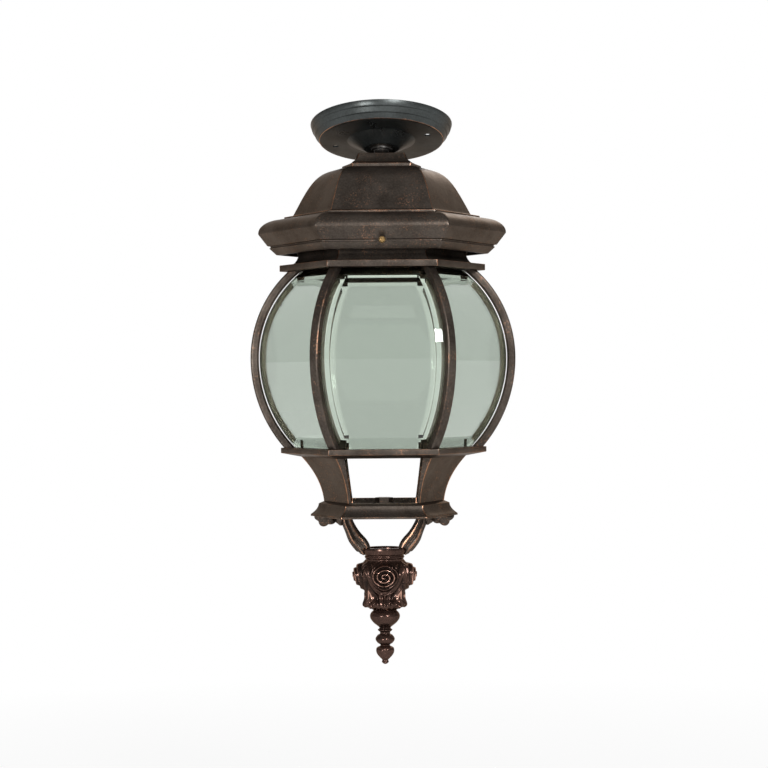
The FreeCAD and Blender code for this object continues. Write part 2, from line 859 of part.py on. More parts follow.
def make_roof():
    """Hollow six-sided roof: square collar, bell dome, fillet, rounded eave and a stepped slanting fascia."""
    body = new_body("roof_dome")
    square = FLAT_SHARE
    collar = [
        (S.collar_top_drop, (S.collar_top_reach, S.collar_top_half, S.collar_top_reach * square)),
        (S.collar_flare_drop, (S.collar_flare_reach, S.collar_flare_half, S.collar_flare_reach * square)),
        (S.collar_foot_drop, (S.collar_foot_reach, S.collar_foot_half, S.collar_foot_reach * square)),
        (S.ledge_top_drop, hexagon(S.ledge_reach, S.roof_side_fullness)),
        (S.ledge_foot_drop, hexagon(S.ledge_reach, S.roof_side_fullness)),
    ]
    hexagon_loft(body, collar, "collar")
    hexagon_loft(body, [dome_section(number / 8) for number in range(9)], "dome")
    fillet = [
        dome_section(1),
        (S.fillet_top_drop, hexagon(S.fillet_reach, S.fillet_side_spare)),
        (S.fillet_foot_drop, hexagon(S.fillet_reach, S.fillet_side_spare)),
        (S.ovolo_top_drop, hexagon(S.ovolo_reach, S.eave_side_spare)),
    ]
    hexagon_loft(body, fillet, "fillet")
    hexagon_loft(body, [ovolo_section(90 / 4 * number) for number in range(5)], "ovolo")
    edge_drop = S.eave_drop + S.eave_edge
    groove_drop = S.fascia_foot_drop + S.groove_height
    lip = S.eave_side_spare
    fascia = [
        (S.eave_drop, hexagon(S.eave_reach, lip)),
        (edge_drop, hexagon(S.eave_reach, lip)),
        (S.fascia_foot_drop, hexagon(S.fascia_reach, lip)),
        (S.fascia_foot_drop + S.groove_slant, hexagon(S.groove_reach, lip)),
        (groove_drop, hexagon(S.groove_reach, lip)),
        (S.lip_foot_drop, hexagon(S.lip_reach, lip)),
    ]
    hexagon_loft(body, fascia, "fascia")
    wall = S.roof_wall
    slant = wall * SLANTED_WALL
    hollow = [
        (S.collar_top_drop + S.roof_lid, (S.collar_top_reach - wall, S.collar_top_half - slant,
                                          (S.collar_top_reach - wall) * square)),
        (S.ledge_foot_drop + wall, hexagon(S.collar_foot_reach, S.roof_side_fullness - wall)),
        offset_section(0.35),
        offset_section(0.6),
        offset_section(1.0),
        (S.ovolo_top_drop + wall, hexagon(S.fillet_reach - wall, lip)),
        (S.eave_drop + wall, hexagon(S.eave_reach - slant * 2, lip)),
        (S.fascia_foot_drop, hexagon(S.groove_reach - slant, lip)),
        (S.lip_foot_drop, hexagon(S.lip_reach - wall, lip)),
    ]
    hexagon_loft(body, hollow, "hollow", subtract=True)
    stem_hole = new_sketch(body, "stem_hole_outline", "XY_Plane")
    circle(stem_hole, 0, 0, S.nipple_radius + S.seat_clearance)
    cut(body, stem_hole, name="stem_hole")
    screw_hole = new_sketch(body, "thumbscrew_hole_outline", "XZ_Plane")
    circle(screw_hole, 0, -S.thumbscrew_drop, S.thumbscrew_radius + S.running_clearance)
    first = cut(body, screw_hole, name="thumbscrew_hole", reverse=True)
    turn_copies(body, first, SCREW_COUNT, "thumbscrew_holes")
    keep(body, "roof_dome")


def offset_section(share):
    """The dome's section a wall further in, for its hollow."""
    drop, sizes = dome_section(share, S.roof_wall * SLANTED_WALL)
    return drop + S.roof_wall / 2, sizes


def neck_face():
    """Distance of the cage neck's flat outer face from the axis."""
    return S.neck_reach * FLAT_SHARE


def make_thumbscrews():
    """Three brass screws with rounded heads that hold the cage's neck inside the roof."""
    tip = neck_face() + S.tip_clearance
    head = S.thumbscrew_head_radius
    head_top = S.thumbscrew_drop - head
    fascia_slope = (S.eave_reach - S.fascia_reach) / (S.fascia_foot_drop - S.eave_drop - S.eave_edge)
    fascia = S.fascia_reach + (S.fascia_foot_drop - head_top) * fascia_slope
    head_start = fascia * FLAT_SHARE + S.thumbscrew_stand_off
    length = S.thumbscrew_head_length
    for number in range(SCREW_COUNT):
        label = f"thumbscrew_{number + 1}"
        body = new_body(label)
        sketch = new_sketch(body, "screw_outline", "XZ_Plane")
        outline(sketch, [
            (0, tip),
            (S.thumbscrew_radius - S.thumbscrew_taper, tip),
            (S.thumbscrew_radius, tip + S.thumbscrew_taper),
            (S.thumbscrew_radius, head_start),
            (head - S.thumbscrew_taper, head_start),
            (head, head_start + length / 2),
            (head - S.thumbscrew_taper, head_start + length),
            (0, head_start + length),
        ])
        feature = body.newObject("PartDesign::Revolution", "screw")
        feature.Profile = sketch
        feature.ReferenceAxis = (sketch, ["V_Axis"])
        feature.Angle = 360
        keep(body, label)
        lay_radially(body, FRONT_AZIMUTH + 360 / SCREW_COUNT * number, S.thumbscrew_drop)


def lay_radially(item, azimuth, drop):
    """Turn a piece that is made along +Z so that it points outward along azimuth, at a drop."""
    upright_to_outward = FreeCAD.Rotation(Y_AXIS, 90)
    turn = FreeCAD.Rotation(Z_AXIS, azimuth) * upright_to_outward
    item.Placement = FreeCAD.Placement(FreeCAD.Vector(), turn)
    bind(item, "Placement.Base.y", -S.pivot_depth * sine(S.ceiling_slope))
    bind(item, "Placement.Base.z", -S.pivot_depth * cosine(S.ceiling_slope) - drop)


# ---------------------------------------------------------------- cage

def inset_reach(drop, inset):
    """Reach at a drop of the curve that runs a constant distance inside the ribs' outer curve."""
    drop = as_size(drop)
    radius = S.upper_rib_radius if drop.value < S.belly_drop.value else S.lower_rib_radius
    rise = drop - S.belly_drop
    inner = radius - inset
    return S.belly_reach - radius + root(inner * inner - rise * rise)


def bowed_strip(sketch, top, foot, outer_inset, depth, cut_back=0.0):
    """Outline of a strip that follows the ribs: its outer and inner edges are each two arcs."""
    inner_inset = as_size(outer_inset) + depth
    inner_top = as_size(top) + cut_back
    inner_foot = as_size(foot) - cut_back
    corners = [
        (inset_reach(top, outer_inset), -as_size(top)),
        (S.belly_reach - outer_inset, -S.belly_drop),
        (inset_reach(foot, outer_inset), -as_size(foot)),
        (inset_reach(inner_foot, inner_inset), -inner_foot),
        (S.belly_reach - inner_inset, -S.belly_drop),
        (inset_reach(inner_top, inner_inset), -inner_top),
    ]
    arcs = {
        0: -(S.upper_rib_radius - outer_inset),
        1: -(S.lower_rib_radius - outer_inset),
        3: S.lower_rib_radius - inner_inset,
        4: S.upper_rib_radius - inner_inset,
    }
    outline(sketch, corners, arcs)


def corner_azimuths():
    return [FACE_ANGLE * number for number in range(FACE_COUNT)]


def make_cage_ring():
    """Neck that rises into the roof, a hollow moulding and the flange over the ribs."""
    body = new_body("cage_top_ring")
    spare = S.flange_side_spare
    sections = [
        (S.neck_top_drop, hexagon(S.neck_reach)),
        (S.cove_top_drop, hexagon(S.neck_reach)),
        (S.cove_drop, hexagon(S.cove_reach)),
        (S.cove_foot_drop, hexagon(S.cove_foot_reach)),
        (S.flange_top_drop, hexagon(S.flange_reach, spare)),
        (S.rib_top_drop, hexagon(S.flange_reach, spare)),
    ]
    hexagon_loft(body, sections, "moulding")
    opening = S.neck_reach - S.neck_wall
    sketch = new_sketch(body, "opening_outline", "XY_Plane")
    outline(sketch, hexagon_corners(*hexagon(opening)))
    cut(body, sketch, name="opening")
    keep(body, "cage_top_ring")


def make_ribs():
    """Six bowed ribs with bevelled outer edges."""
    top = S.rib_top_drop
    for number, azimuth in enumerate(corner_azimuths(), start=1):
        label = f"rib_{number}"
        body = new_body(label)
        sketch = new_sketch(body, "rib_outline", "XZ_Plane")
        bowed_strip(sketch, top, S.lower_flange_drop, 0.0, S.rib_depth)
        blank = pad(body, sketch, S.rib_width, name="blank", side="Symmetric")
        document.recompute()
        edges = enumerate(blank.Shape.Edges, start=1)
        outer = [f"Edge{index}" for index, edge in edges if is_outer_edge(edge)]
        bevel = body.newObject("PartDesign::Chamfer", "bevel")
        bevel.Base = (blank, outer)
        bind(bevel, "Size", S.rib_bevel)
        keep(body, label, azimuth)


def is_outer_edge(edge):
    """True for the two long edges on each side of a rib's outer face."""
    curve = edge.Curve
    if not isinstance(curve, Part.Circle):
        return False
    outer_radii = (S.upper_rib_radius.value, S.lower_rib_radius.value)
    return any(abs(curve.Radius - radius) < 1e-3 for radius in outer_radii)


def make_retainers():
    """Six inner strips that hold the glass to the ribs, with ends cut on the slant."""
    for number, azimuth in enumerate(corner_azimuths(), start=1):
        label = f"glass_retainer_{number}"
        body = new_body(label)
        sketch = new_sketch(body, "strip_outline", "XZ_Plane")
        bowed_strip(sketch, S.retainer_top_drop, S.retainer_foot_drop, S.retainer_offset,
                    S.retainer_depth, S.retainer_depth)
        pad(body, sketch, S.retainer_width, name="strip", side="Symmetric")
        keep(body, label, azimuth)


def pane_face(reach):
    """Distance from the axis of a pane's flat way across, for a corner reach."""
    return reach * FLAT_SHARE


def bend_radius(face_change, rise):
    """Radius of the arc that starts upright and moves in by face_change over a rise."""
    return (face_change * face_change + rise * rise) / (face_change * 2)


def make_panes():
    """Six panes, each bent one way only: two upright arcs, cut off along the ribs."""
    top = S.rib_top_drop + S.glass_clearance
    foot = S.lower_flange_drop - S.glass_clearance
    seat = S.rib_depth + S.glass_clearance
    belly = pane_face(S.belly_reach - seat)
    upper = belly - pane_face(inset_reach(top, seat))
    lower = belly - pane_face(inset_reach(foot, seat))
    upper_bend = bend_radius(upper, S.belly_drop - top)
    lower_bend = bend_radius(lower, foot - S.belly_drop)
    thickness = S.glass_thickness
    half = S.belly_reach / 2
    for number in range(FACE_COUNT):
        label = f"glass_pane_{number + 1}"
        body = new_body(label)
        sketch = new_sketch(body, "pane_outline", "YZ_Plane")
        upper_slant = thickness * upper_bend / (upper_bend - upper)
        lower_slant = thickness * lower_bend / (lower_bend - lower)
        corners = [
            (-(belly - upper), -top),
            (-belly, -S.belly_drop),
            (-(belly - lower), -foot),
            (-(belly - lower - lower_slant), -foot),
            (-(belly - thickness), -S.belly_drop),
            (-(belly - upper - upper_slant), -top),
        ]
        arcs = {0: upper_bend, 1: lower_bend,
                3: -bend_radius(lower + lower_slant - thickness, foot - S.belly_drop),
                4: -bend_radius(upper + upper_slant - thickness, S.belly_drop - top)}
        outline(sketch, corners, arcs)
        pad(body, sketch, half * 2, name="bent_sheet", side="Symmetric")
        for side in (1, -1):
            trim = new_sketch(body, f"trim_outline_{'right' if side == 1 else 'left'}", "XY_Plane")
            gap = S.glass_gap / FLAT_SHARE
            far = half * 2
            lean = 1 / math.tan(math.radians(60))
            outline(trim, [(-side * gap, 0), (side * (far * lean - gap), -far),
                           (side * far * 2, -far), (side * far * 2, 0)])
            cut(body, trim, name="trim_right" if side == 1 else "trim_left")
        keep(body, label, FACE_ANGLE * number)


def make_stop_ring():
    """Slanted ring under the flange, inside the tops of the panes."""
    body = new_body("glass_stop_ring")
    top = S.rib_top_drop
    foot = top + S.stop_ring_height
    sections = [(drop, hexagon(stop_reach(drop))) for drop in (top, foot)]
    hexagon_loft(body, sections, "ring")
    sketch = new_sketch(body, "opening_outline", "XY_Plane")
    outline(sketch, hexagon_corners(*hexagon(stop_reach(top) - S.stop_ring_width)))
    cut(body, sketch, name="opening")
    keep(body, "glass_stop_ring")


def stop_reach(drop):
    """Corner reach just inside the glass at a drop."""
    seat = S.rib_depth + S.glass_clearance
    outer = inset_reach(drop, seat)
    radius = S.upper_rib_radius - seat
    level_share = (outer - (S.belly_reach - S.upper_rib_radius)) / radius
    return outer - S.glass_thickness / level_share / FLAT_SHARE - S.glass_clearance * 2


def make_blocks(label, length, width, height, reach, top_drop):
    """A block at each corner of the cage, its long way outward, hung from a drop."""
    blocks = []
    for azimuth in corner_azimuths():
        block = document.addObject("Part::Box", f"{label}_{len(blocks) + 1}")
        bind(block, "Length", length)
        bind(block, "Width", width)
        bind(block, "Height", height)
        direction = FreeCAD.Rotation(Z_AXIS, azimuth).multVec(X_AXIS)
        sideways = FreeCAD.Rotation(Z_AXIS, azimuth).multVec(Y_AXIS)
        block.Placement = FreeCAD.Placement(FreeCAD.Vector(), FreeCAD.Rotation(Z_AXIS, azimuth))
        inner = as_size(reach) - as_size(length)
        bind(block, "Placement.Base.x", inner * direction.x - width * 0.5 * sideways.x)
        bind(block, "Placement.Base.y", inner * direction.y - width * 0.5 * sideways.y)
        bind(block, "Placement.Base.z", -as_size(top_drop) - height)
        blocks.append(block)
    keep(group(label, blocks), label)


def make_corner_fittings():
    """Lugs under the stop ring's corners, and clips that stand on the lower ring behind the glass."""
    ring_foot = S.rib_top_drop + S.stop_ring_height
    make_blocks("ring_lugs", S.lug_length, S.lug_width, S.lug_height,
                stop_reach(ring_foot) - S.lug_set_back, ring_foot)
    clip_top = S.lower_flange_drop - S.clip_height
    clip_reach = inset_reach(S.lower_flange_drop, S.rib_depth) - S.clip_set_back
    make_blocks("bottom_clips", S.clip_thickness, S.clip_width, S.clip_height, clip_reach, clip_top)


# ---------------------------------------------------------------- lower ring, basket and plate

def make_lower_flange():
    """Ring under the ribs with a sloping underside."""
    body = new_body("bottom_flange")
    spare = S.flange_side_spare
    edge_foot = S.lower_flange_drop + S.lower_flange_height
    sections = [
        (S.lower_flange_drop, hexagon(S.flange_reach, spare)),
        (edge_foot, hexagon(S.flange_reach, spare)),
        (edge_foot + S.lower_flange_slope, hexagon(S.basket_top_reach, S.basket_side_spare)),
    ]
    hexagon_loft(body, sections, "ring")
    sketch = new_sketch(body, "opening_outline", "XY_Plane")
    outline(sketch, hexagon_corners(*hexagon(S.lower_flange_inner_reach, S.basket_side_spare)))
    cut(body, sketch, name="opening")
    keep(body, "bottom_flange")


def basket_top():
    return S.lower_flange_drop + S.lower_flange_height + S.lower_flange_slope


def basket_foot():
    return basket_top() + S.basket_height


def basket_sections(inset):
    """Hexagons of the basket's hollow curve, narrowing downward."""
    sections = []
    for number in range(5):
        share = number / 4
        rest = 1 - share
        reach = (S.basket_top_reach * rest ** 2 + S.basket_pull_reach * (2 * rest * share)
                 + S.basket_foot_reach * share ** 2)
        drop = basket_top() + S.basket_pull_drop * (2 * rest * share) + S.basket_height * share ** 2
        sections.append((drop, hexagon(reach - inset, S.basket_side_spare)))
    return sections


def make_basket_sides():
    """Left and right cheeks of the basket: three-sided shells with the front and back left open."""
    for label, side in (("basket_side_right", 1), ("basket_side_left", -1)):
        body = new_body(label)
        hexagon_loft(body, basket_sections(0.0), "shell")
        hexagon_loft(body, basket_sections(S.basket_wall), "hollow", subtract=True)
        window = new_sketch(body, "window_outline", "XZ_Plane")
        far = S.basket_top_reach * 2
        above = basket_top() - S.basket_wall
        below = basket_foot() + S.basket_wall
        outline(window, [
            (side * S.window_top_half, -above),
            (side * S.window_foot_half, -below),
            (-side * far, -below),
            (-side * far, -above),
        ])
        cut(body, window, name="window", side="Symmetric", length=S.basket_top_reach * 3)
        keep(body, label)


def make_base_plate():
    """Moulded hexagonal tray under the basket, with a shallow recess below for the arms' bridge."""
    body = new_body("base_plate")
    top = basket_foot()
    foot = top + S.plate_height
    spare = S.basket_side_spare
    edge = foot - S.plate_edge
    hollow_drop = top + S.plate_step_drop
    rise = edge - hollow_drop
    # the hollow moulding widens with the square of its depth
    sections = [
        (top, hexagon(S.basket_foot_reach, spare)),
        (hollow_drop, hexagon(S.plate_step_reach, spare)),
        (hollow_drop + rise / 3, hexagon(S.plate_step_reach + S.plate_cove / 9, spare)),
        (hollow_drop + rise * 2 / 3, hexagon(S.plate_step_reach + S.plate_cove * 4 / 9, spare)),
        (edge, hexagon(S.plate_reach, spare)),
        (foot, hexagon(S.plate_reach, spare)),
    ]
    hexagon_loft(body, sections, "moulding")
    tray = new_sketch(body, "tray_outline", "XY_Plane", -top)
    outline(tray, hexagon_corners(*hexagon(S.plate_tray_reach, spare)))
    cut(body, tray, S.plate_height - S.bridge_height - S.plate_floor, name="tray")
    recess = new_sketch(body, "recess_outline", "XY_Plane", -foot)
    half_length = S.bridge_length / 2 + S.seat_clearance
    half_width = S.bridge_width / 2 + S.seat_clearance
    outline(recess, [(-half_length, -half_width), (half_length, -half_width),
                     (half_length, half_width), (-half_length, half_width)])
    cut(body, recess, S.bridge_height, name="bridge_recess", reverse=True)
    hole = new_sketch(body, "stud_hole_outline", "XY_Plane", -top)
    circle(hole, 0, 0, S.stud_radius + S.seat_clearance)
    cut(body, hole, name="stud_hole")
    keep(body, "base_plate")


def plate_foot():
    return basket_foot() + S.plate_height


def make_bridge():
    """Flat bar that joins the two arms under the plate, with the stud and cap nut that hold it."""
    body = new_body("arm_bridge")
    foot = plate_foot()
    sketch = new_sketch(body, "bar_outline", "XY_Plane", -foot)
    half_length = S.bridge_length / 2
    half_width = S.bridge_width / 2
    tip = half_length - half_width / math.sqrt(3)
    outline(sketch, [(-tip, -half_width), (tip, -half_width), (half_length, 0),
                     (tip, half_width), (-tip, half_width), (-half_length, 0)])
    circle(sketch, 0, 0, S.stud_radius + S.seat_clearance)
    pad(body, sketch, S.bridge_height, name="bar")
    keep(body, "arm_bridge")
    floor_drop = foot - S.bridge_height - S.plate_floor
    stud = new_body("centre_stud")
    end = new_sketch(stud, "stud_outline", "XY_Plane", -foot)
    circle(end, 0, 0, S.stud_radius)
    pad(stud, end, S.bridge_height + S.plate_floor + S.stud_grip, name="stud")
    keep(stud, "centre_stud")
    nut = new_body("cap_nut")
    flats = new_sketch(nut, "nut_outline", "XY_Plane", -floor_drop)
    outline(flats, hexagon_corners(*hexagon(S.cap_nut_corner_radius)))
    pad(nut, flats, S.cap_nut_height, name="nut")
    bore = new_sketch(nut, "bore_outline", "XY_Plane", -floor_drop)
    circle(bore, 0, 0, S.stud_radius + S.seat_clearance)
    cut(nut, bore, S.stud_grip + S.running_clearance, name="bore", reverse=True)
    keep(nut, "cap_nut")


# ---------------------------------------------------------------- scroll arms and finial

def make_arms():
    """Two scroll arms: a bowed bar that runs down to the finial, and two leaf curls under the plate."""
    top = plate_foot()
    foot = top + S.arm_drop
    for label, turn in (("scroll_arm_right", 0), ("scroll_arm_left", 180)):
        body = new_body(label)
        sketch = new_sketch(body, "arm_outline", "XZ_Plane")
        outline(sketch, [
            (S.arm_inner_top, -top),
            (S.arm_inner_foot, -foot),
            (S.arm_outer_foot, -foot),
            (S.arm_outer_top, -top - S.bead_volute_drop),
            (S.volute_inner_reach, -top - S.volute_step),
            (S.volute_inner_reach + S.arm_overlap, -top),
        ], {0: -S.arm_bow_radius, 2: S.arm_bow_radius, 3: S.bead_volute_radius})
        pad(body, sketch, S.arm_thickness, name="arm", side="Symmetric")
        curl = new_sketch(body, "curl_outline", "XZ_Plane")
        outline(curl, [
            (S.volute_inner_reach, -top),
            (S.volute_inner_reach, -top - S.volute_step),
            (S.volute_outer_reach, -top - S.volute_step),
            (S.volute_outer_reach, -top),
        ], {1: S.volute_radius})
        pad(body, curl, S.volute_thickness, name="curl", side="Symmetric")
        keep(body, label, turn)


def make_finial():
    """Open cup with a swelling leafed body, and the turned spindle below it with its tang inside."""
    top = plate_foot() + S.arm_drop
    cup = new_body("finial_cup")
    well = top + S.cup_well_depth
    foot = top + S.leaf_foot_drop
    tang = S.tang_radius + S.seat_clearance
    tang_top = foot - S.tang_length
    corners = [
        (S.cup_bore, -top),
        (S.cup_bore, -well),
        (0, -well),
        (0, -tang_top),
        (tang, -tang_top),
        (tang, -foot),
        (S.leaf_foot_radius, -foot),
        (S.leaf_tip_radius, -top - S.leaf_tip_drop),
        (S.leaf_waist_radius, -top - S.leaf_waist_drop),
        (S.leaf_radius, -top - S.leaf_drop),
        (S.cup_shoulder_radius, -top - S.cup_shoulder_drop),
        (S.cup_neck_radius, -top - S.cup_neck_drop),
        (S.cup_rim_radius, -top - S.cup_rim_height),
        (S.cup_rim_radius, -top),
    ]
    revolve(cup, corners, {8: -S.leaf_hollow_radius, 9: S.leaf_swell_radius}, name="cup")
    keep(cup, "finial_cup")

    spindle = new_body("finial_spindle")
    revolve(spindle, [
        (0, -tang_top - S.seat_clearance),
        (0, -foot - S.tip_end_drop),
        (S.tip_radius, -foot - S.tip_drop),
        (S.tip_neck_radius, -foot - S.tip_neck_drop),
        (S.bud_radius, -foot - S.bud_drop),
        (S.bud_neck_radius, -foot - S.bud_neck_drop),
        (S.bead_radius, -foot - S.bead_drop),
        (S.bead_neck_radius, -foot - S.bead_neck_drop),
        (S.collar_radius, -foot - S.collar_drop),
        (S.vase_foot_radius, -foot - S.vase_foot_drop),
        (S.vase_radius, -foot - S.vase_drop),
        (S.leaf_foot_radius, -foot),
        (S.tang_radius, -foot),
        (S.tang_radius, -tang_top - S.seat_clearance),
    ], {4: S.bud_radius, 5: S.bead_curve, 6: S.bead_curve, 9: S.vase_hollow_curve,
        10: S.vase_curve}, name="spindle")
    keep(spindle, "finial_spindle")


# ---------------------------------------------------------------- build, test and write

def check_document():
    for item in document.Objects:
        if "Invalid" in item.State or "Error" in item.State:
            raise RuntimeError(f"{item.Name} failed: {item.State}")
    for item in sub_parts:
        if item.Shape.isNull() or not item.Shape.isValid():
            raise RuntimeError(f"{item.Label} has no valid shape")


def main():
    make_canopy_dish()
    make_terminal_block()
    make_earth_stud()
    make_swivel_seat()
    make_swivel_retainer()
    make_swivel_ball()
    make_swivel_pins()
    make_stem()
    make_lamp_holder()
    make_roof()
    make_thumbscrews()
    make_cage_ring()
    make_stop_ring()
    make_ribs()
    make_panes()
    make_retainers()
    make_corner_fittings()
    make_lower_flange()
    make_basket_sides()
    make_base_plate()
    make_bridge()
    make_arms()
    make_finial()
    document.recompute()
    check_document()
    os.makedirs("parts", exist_ok=True)
    for item in sub_parts:
        item.Shape.exportStep(f"parts/{item.Label}.step")
        print(item.Label, len(item.Shape.Solids), round(item.Shape.Volume / 1000, 2), "cm3")


main()
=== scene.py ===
import json
import math

import bmesh
import bpy
import numpy as np
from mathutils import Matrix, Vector


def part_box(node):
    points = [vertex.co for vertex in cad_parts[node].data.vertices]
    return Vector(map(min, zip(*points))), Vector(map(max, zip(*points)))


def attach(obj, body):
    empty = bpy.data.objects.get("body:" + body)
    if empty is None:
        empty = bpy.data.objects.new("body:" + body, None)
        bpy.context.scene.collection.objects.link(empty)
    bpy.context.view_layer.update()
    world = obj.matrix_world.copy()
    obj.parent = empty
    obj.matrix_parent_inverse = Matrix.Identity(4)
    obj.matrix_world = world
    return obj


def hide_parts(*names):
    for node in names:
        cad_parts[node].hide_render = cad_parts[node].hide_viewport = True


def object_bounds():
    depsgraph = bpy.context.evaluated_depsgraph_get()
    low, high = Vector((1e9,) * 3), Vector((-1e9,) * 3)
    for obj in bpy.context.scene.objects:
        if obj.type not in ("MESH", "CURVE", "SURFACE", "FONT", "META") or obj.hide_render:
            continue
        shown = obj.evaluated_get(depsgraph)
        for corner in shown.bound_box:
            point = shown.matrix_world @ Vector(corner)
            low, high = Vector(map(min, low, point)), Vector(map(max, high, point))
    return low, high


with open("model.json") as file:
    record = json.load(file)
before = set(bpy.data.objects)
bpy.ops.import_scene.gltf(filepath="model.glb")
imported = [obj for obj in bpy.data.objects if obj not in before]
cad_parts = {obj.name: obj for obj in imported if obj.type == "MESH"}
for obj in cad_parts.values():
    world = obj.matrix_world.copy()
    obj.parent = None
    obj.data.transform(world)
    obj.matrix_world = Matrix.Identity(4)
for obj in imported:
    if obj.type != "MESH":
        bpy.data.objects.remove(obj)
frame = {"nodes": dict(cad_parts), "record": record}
CAD_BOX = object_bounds()

bl_info = {
    "name": "Porch ceiling lantern",
    "version": (1, 0, 0),
    "blender": (4, 5, 0),
    "location": "3D View > Sidebar > Lantern",
    "description": "Dresses the frame of a six-sided porch ceiling lantern and lights it for a picture",
    "category": "Object",
}

# Lengths below are millimetres. A drop is a distance below the swivel's centre, and a reach is a distance
# out from the lantern's upright axis, to a corner of the six-sided plan.
MM = 0.001
SQUARE = math.cos(math.radians(30))
NODES = frame["nodes"]
BEHAVIOUR = frame["record"]["behaviour"]
MOUNTS = {mount["name"]: mount for mount in frame["record"]["mounts"]}
PIVOT = np.array(next(j["pos_m"] for j in BEHAVIOUR["joints"] if j["name"] == "swivel_tilt"))
CEILING_UP = np.array(MOUNTS["ceiling_face"]["axis"])


def drop_of(node, end):
    """Drop of a node's top (end 0) or foot (end 1)."""
    low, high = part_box(node)
    return (PIVOT[2] - (high[2], low[2])[end]) / MM


def reach_of(node):
    """Reach of a node's furthest point along +X."""
    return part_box(node)[1][0] / MM


# places read from the frame
BELLY_REACH = reach_of("rib_1")
FLANGE_REACH = reach_of("cage_top_ring")
EAVE_REACH = reach_of("roof_dome")
ROOF_TOP = drop_of("roof_dome", 0)
LIP_FOOT = drop_of("roof_dome", 1)
NECK_TOP = drop_of("cage_top_ring", 0)
RIB_TOP = drop_of("rib_1", 0)
RIB_FOOT = drop_of("rib_1", 1)
BASKET_TOP = drop_of("bottom_flange", 1)
PLATE_TOP = drop_of("base_plate", 0)
PLATE_FOOT = drop_of("base_plate", 1)
PLATE_REACH = reach_of("base_plate")
CUP_TOP = drop_of("finial_cup", 0)
CUP_FOOT = drop_of("finial_cup", 1)
TIP_FOOT = drop_of("finial_spindle", 1)

# sizes of the forms that the frame's boxes don't tell
CANOPY_RADIUS = 71.0
CANOPY_FACE_RADIUS = 62.0
CANOPY_DEPTH = 16.5
CANOPY_WALL = 1.6
CANOPY_STEPS = 3
SCREW_LINE_TURN = math.radians(-18)
BELLY_DROP = 211.3
UPPER_RIB_RADIUS = 118.2
LOWER_RIB_RADIUS = 136.6
RIB_COUNT = 6
RIB_WIDTH = 9.3
RIB_DEPTH = 7.0
NECK_REACH = FLANGE_REACH - 18.5
NECK_WALL = 4.6
NECK_SCREW_DROP = 106.0
STRIP_SCREW_DROPS = (158.0, 277.0)
STRIP_FACE_INSET = 17.0
GLASS_THICKNESS = 3.0
GLASS_CLEARANCE = 0.3
GLASS_GAP = 1.0
GLASS_TOP = RIB_TOP + GLASS_CLEARANCE
GLASS_FOOT = RIB_FOOT - GLASS_CLEARANCE
BASKET_TOP_REACH = FLANGE_REACH - 20.7
BASKET_FOOT_REACH = 60.0
BASKET_WALL = 3.2

# half of how much wider the front and back of the plan are than a regular hexagon's sides
FASCIA_SPARE = 1.5
RING_SPARE = 1.7
BASKET_SPARE = 4.9

# how meshes are made: edges past the sharp angle, in degrees, stay crisp
SHARP_ANGLE = 32.0
MERGE_DISTANCE = 0.000005
THINNEST_FACE = 0.000002
TINY = 1e-9


class LanternSizes(bpy.types.PropertyGroup):
    """Sizes of the finish that a user would change."""

    edge_softness: bpy.props.FloatProperty(
        name="Edge softness", description="Radius of the soft edge on cast pieces",
        default=0.0005, min=0.0001, max=0.002, unit="LENGTH", precision=5)
    rib_rounding: bpy.props.FloatProperty(
        name="Rib rounding", description="Radius of the outer edges of the ribs",
        default=0.0018, min=0.0005, max=0.0035, unit="LENGTH", precision=5)
    bevel_width: bpy.props.FloatProperty(
        name="Glass bevel width", description="Width of the ground margin of each pane",
        default=0.0105, min=0.002, max=0.02, unit="LENGTH", precision=5)
    bevel_depth: bpy.props.FloatProperty(
        name="Glass bevel depth", description="How much thinner a pane is at its edge",
        default=0.0013, min=0.0, max=0.0025, unit="LENGTH", precision=5)
    rose_relief: bpy.props.FloatProperty(
        name="Rose relief", description="Height of the rings of the finial's roses",
        default=0.0015, min=0.0, max=0.003, unit="LENGTH", precision=5)
    leaf_relief: bpy.props.FloatProperty(
        name="Leaf relief", description="Height of the ridges of the finial's leaves",
        default=0.0017, min=0.0, max=0.003, unit="LENGTH", precision=5)


class LanternColours(bpy.types.PropertyGroup):
    """Colours of the finishes."""

    bronze: bpy.props.FloatVectorProperty(
        name="Bronze", description="Main colour of the cast pieces",
        default=(0.090, 0.074, 0.062), size=3, min=0, max=1, subtype="COLOR")
    # the dark colour shows in the mottling, and as painted shade in hollows where a piece's wear is below
    # nought
    bronze_dark: bpy.props.FloatVectorProperty(
        name="Dark bronze", description="Colour of the bronze in its hollows",
        default=(0.026, 0.020, 0.016), size=3, min=0, max=1, subtype="COLOR")
    copper: bpy.props.FloatVectorProperty(
        name="Copper", description="Colour that shows on worn edges",
        default=(0.46, 0.24, 0.145), size=3, min=0, max=1, subtype="COLOR")
    canopy: bpy.props.FloatVectorProperty(
        name="Canopy", description="Main colour of the ceiling canopy",
        default=(0.068, 0.076, 0.076), size=3, min=0, max=1, subtype="COLOR")
    finial: bpy.props.FloatVectorProperty(
        name="Finial", description="Main colour of the finial",
        default=(0.082, 0.047, 0.037), size=3, min=0, max=1, subtype="COLOR")
    glass: bpy.props.FloatVectorProperty(
        name="Glass", description="Tint of the middle of a pane",
        default=(0.62, 0.67, 0.62), size=3, min=0, max=1, subtype="COLOR")


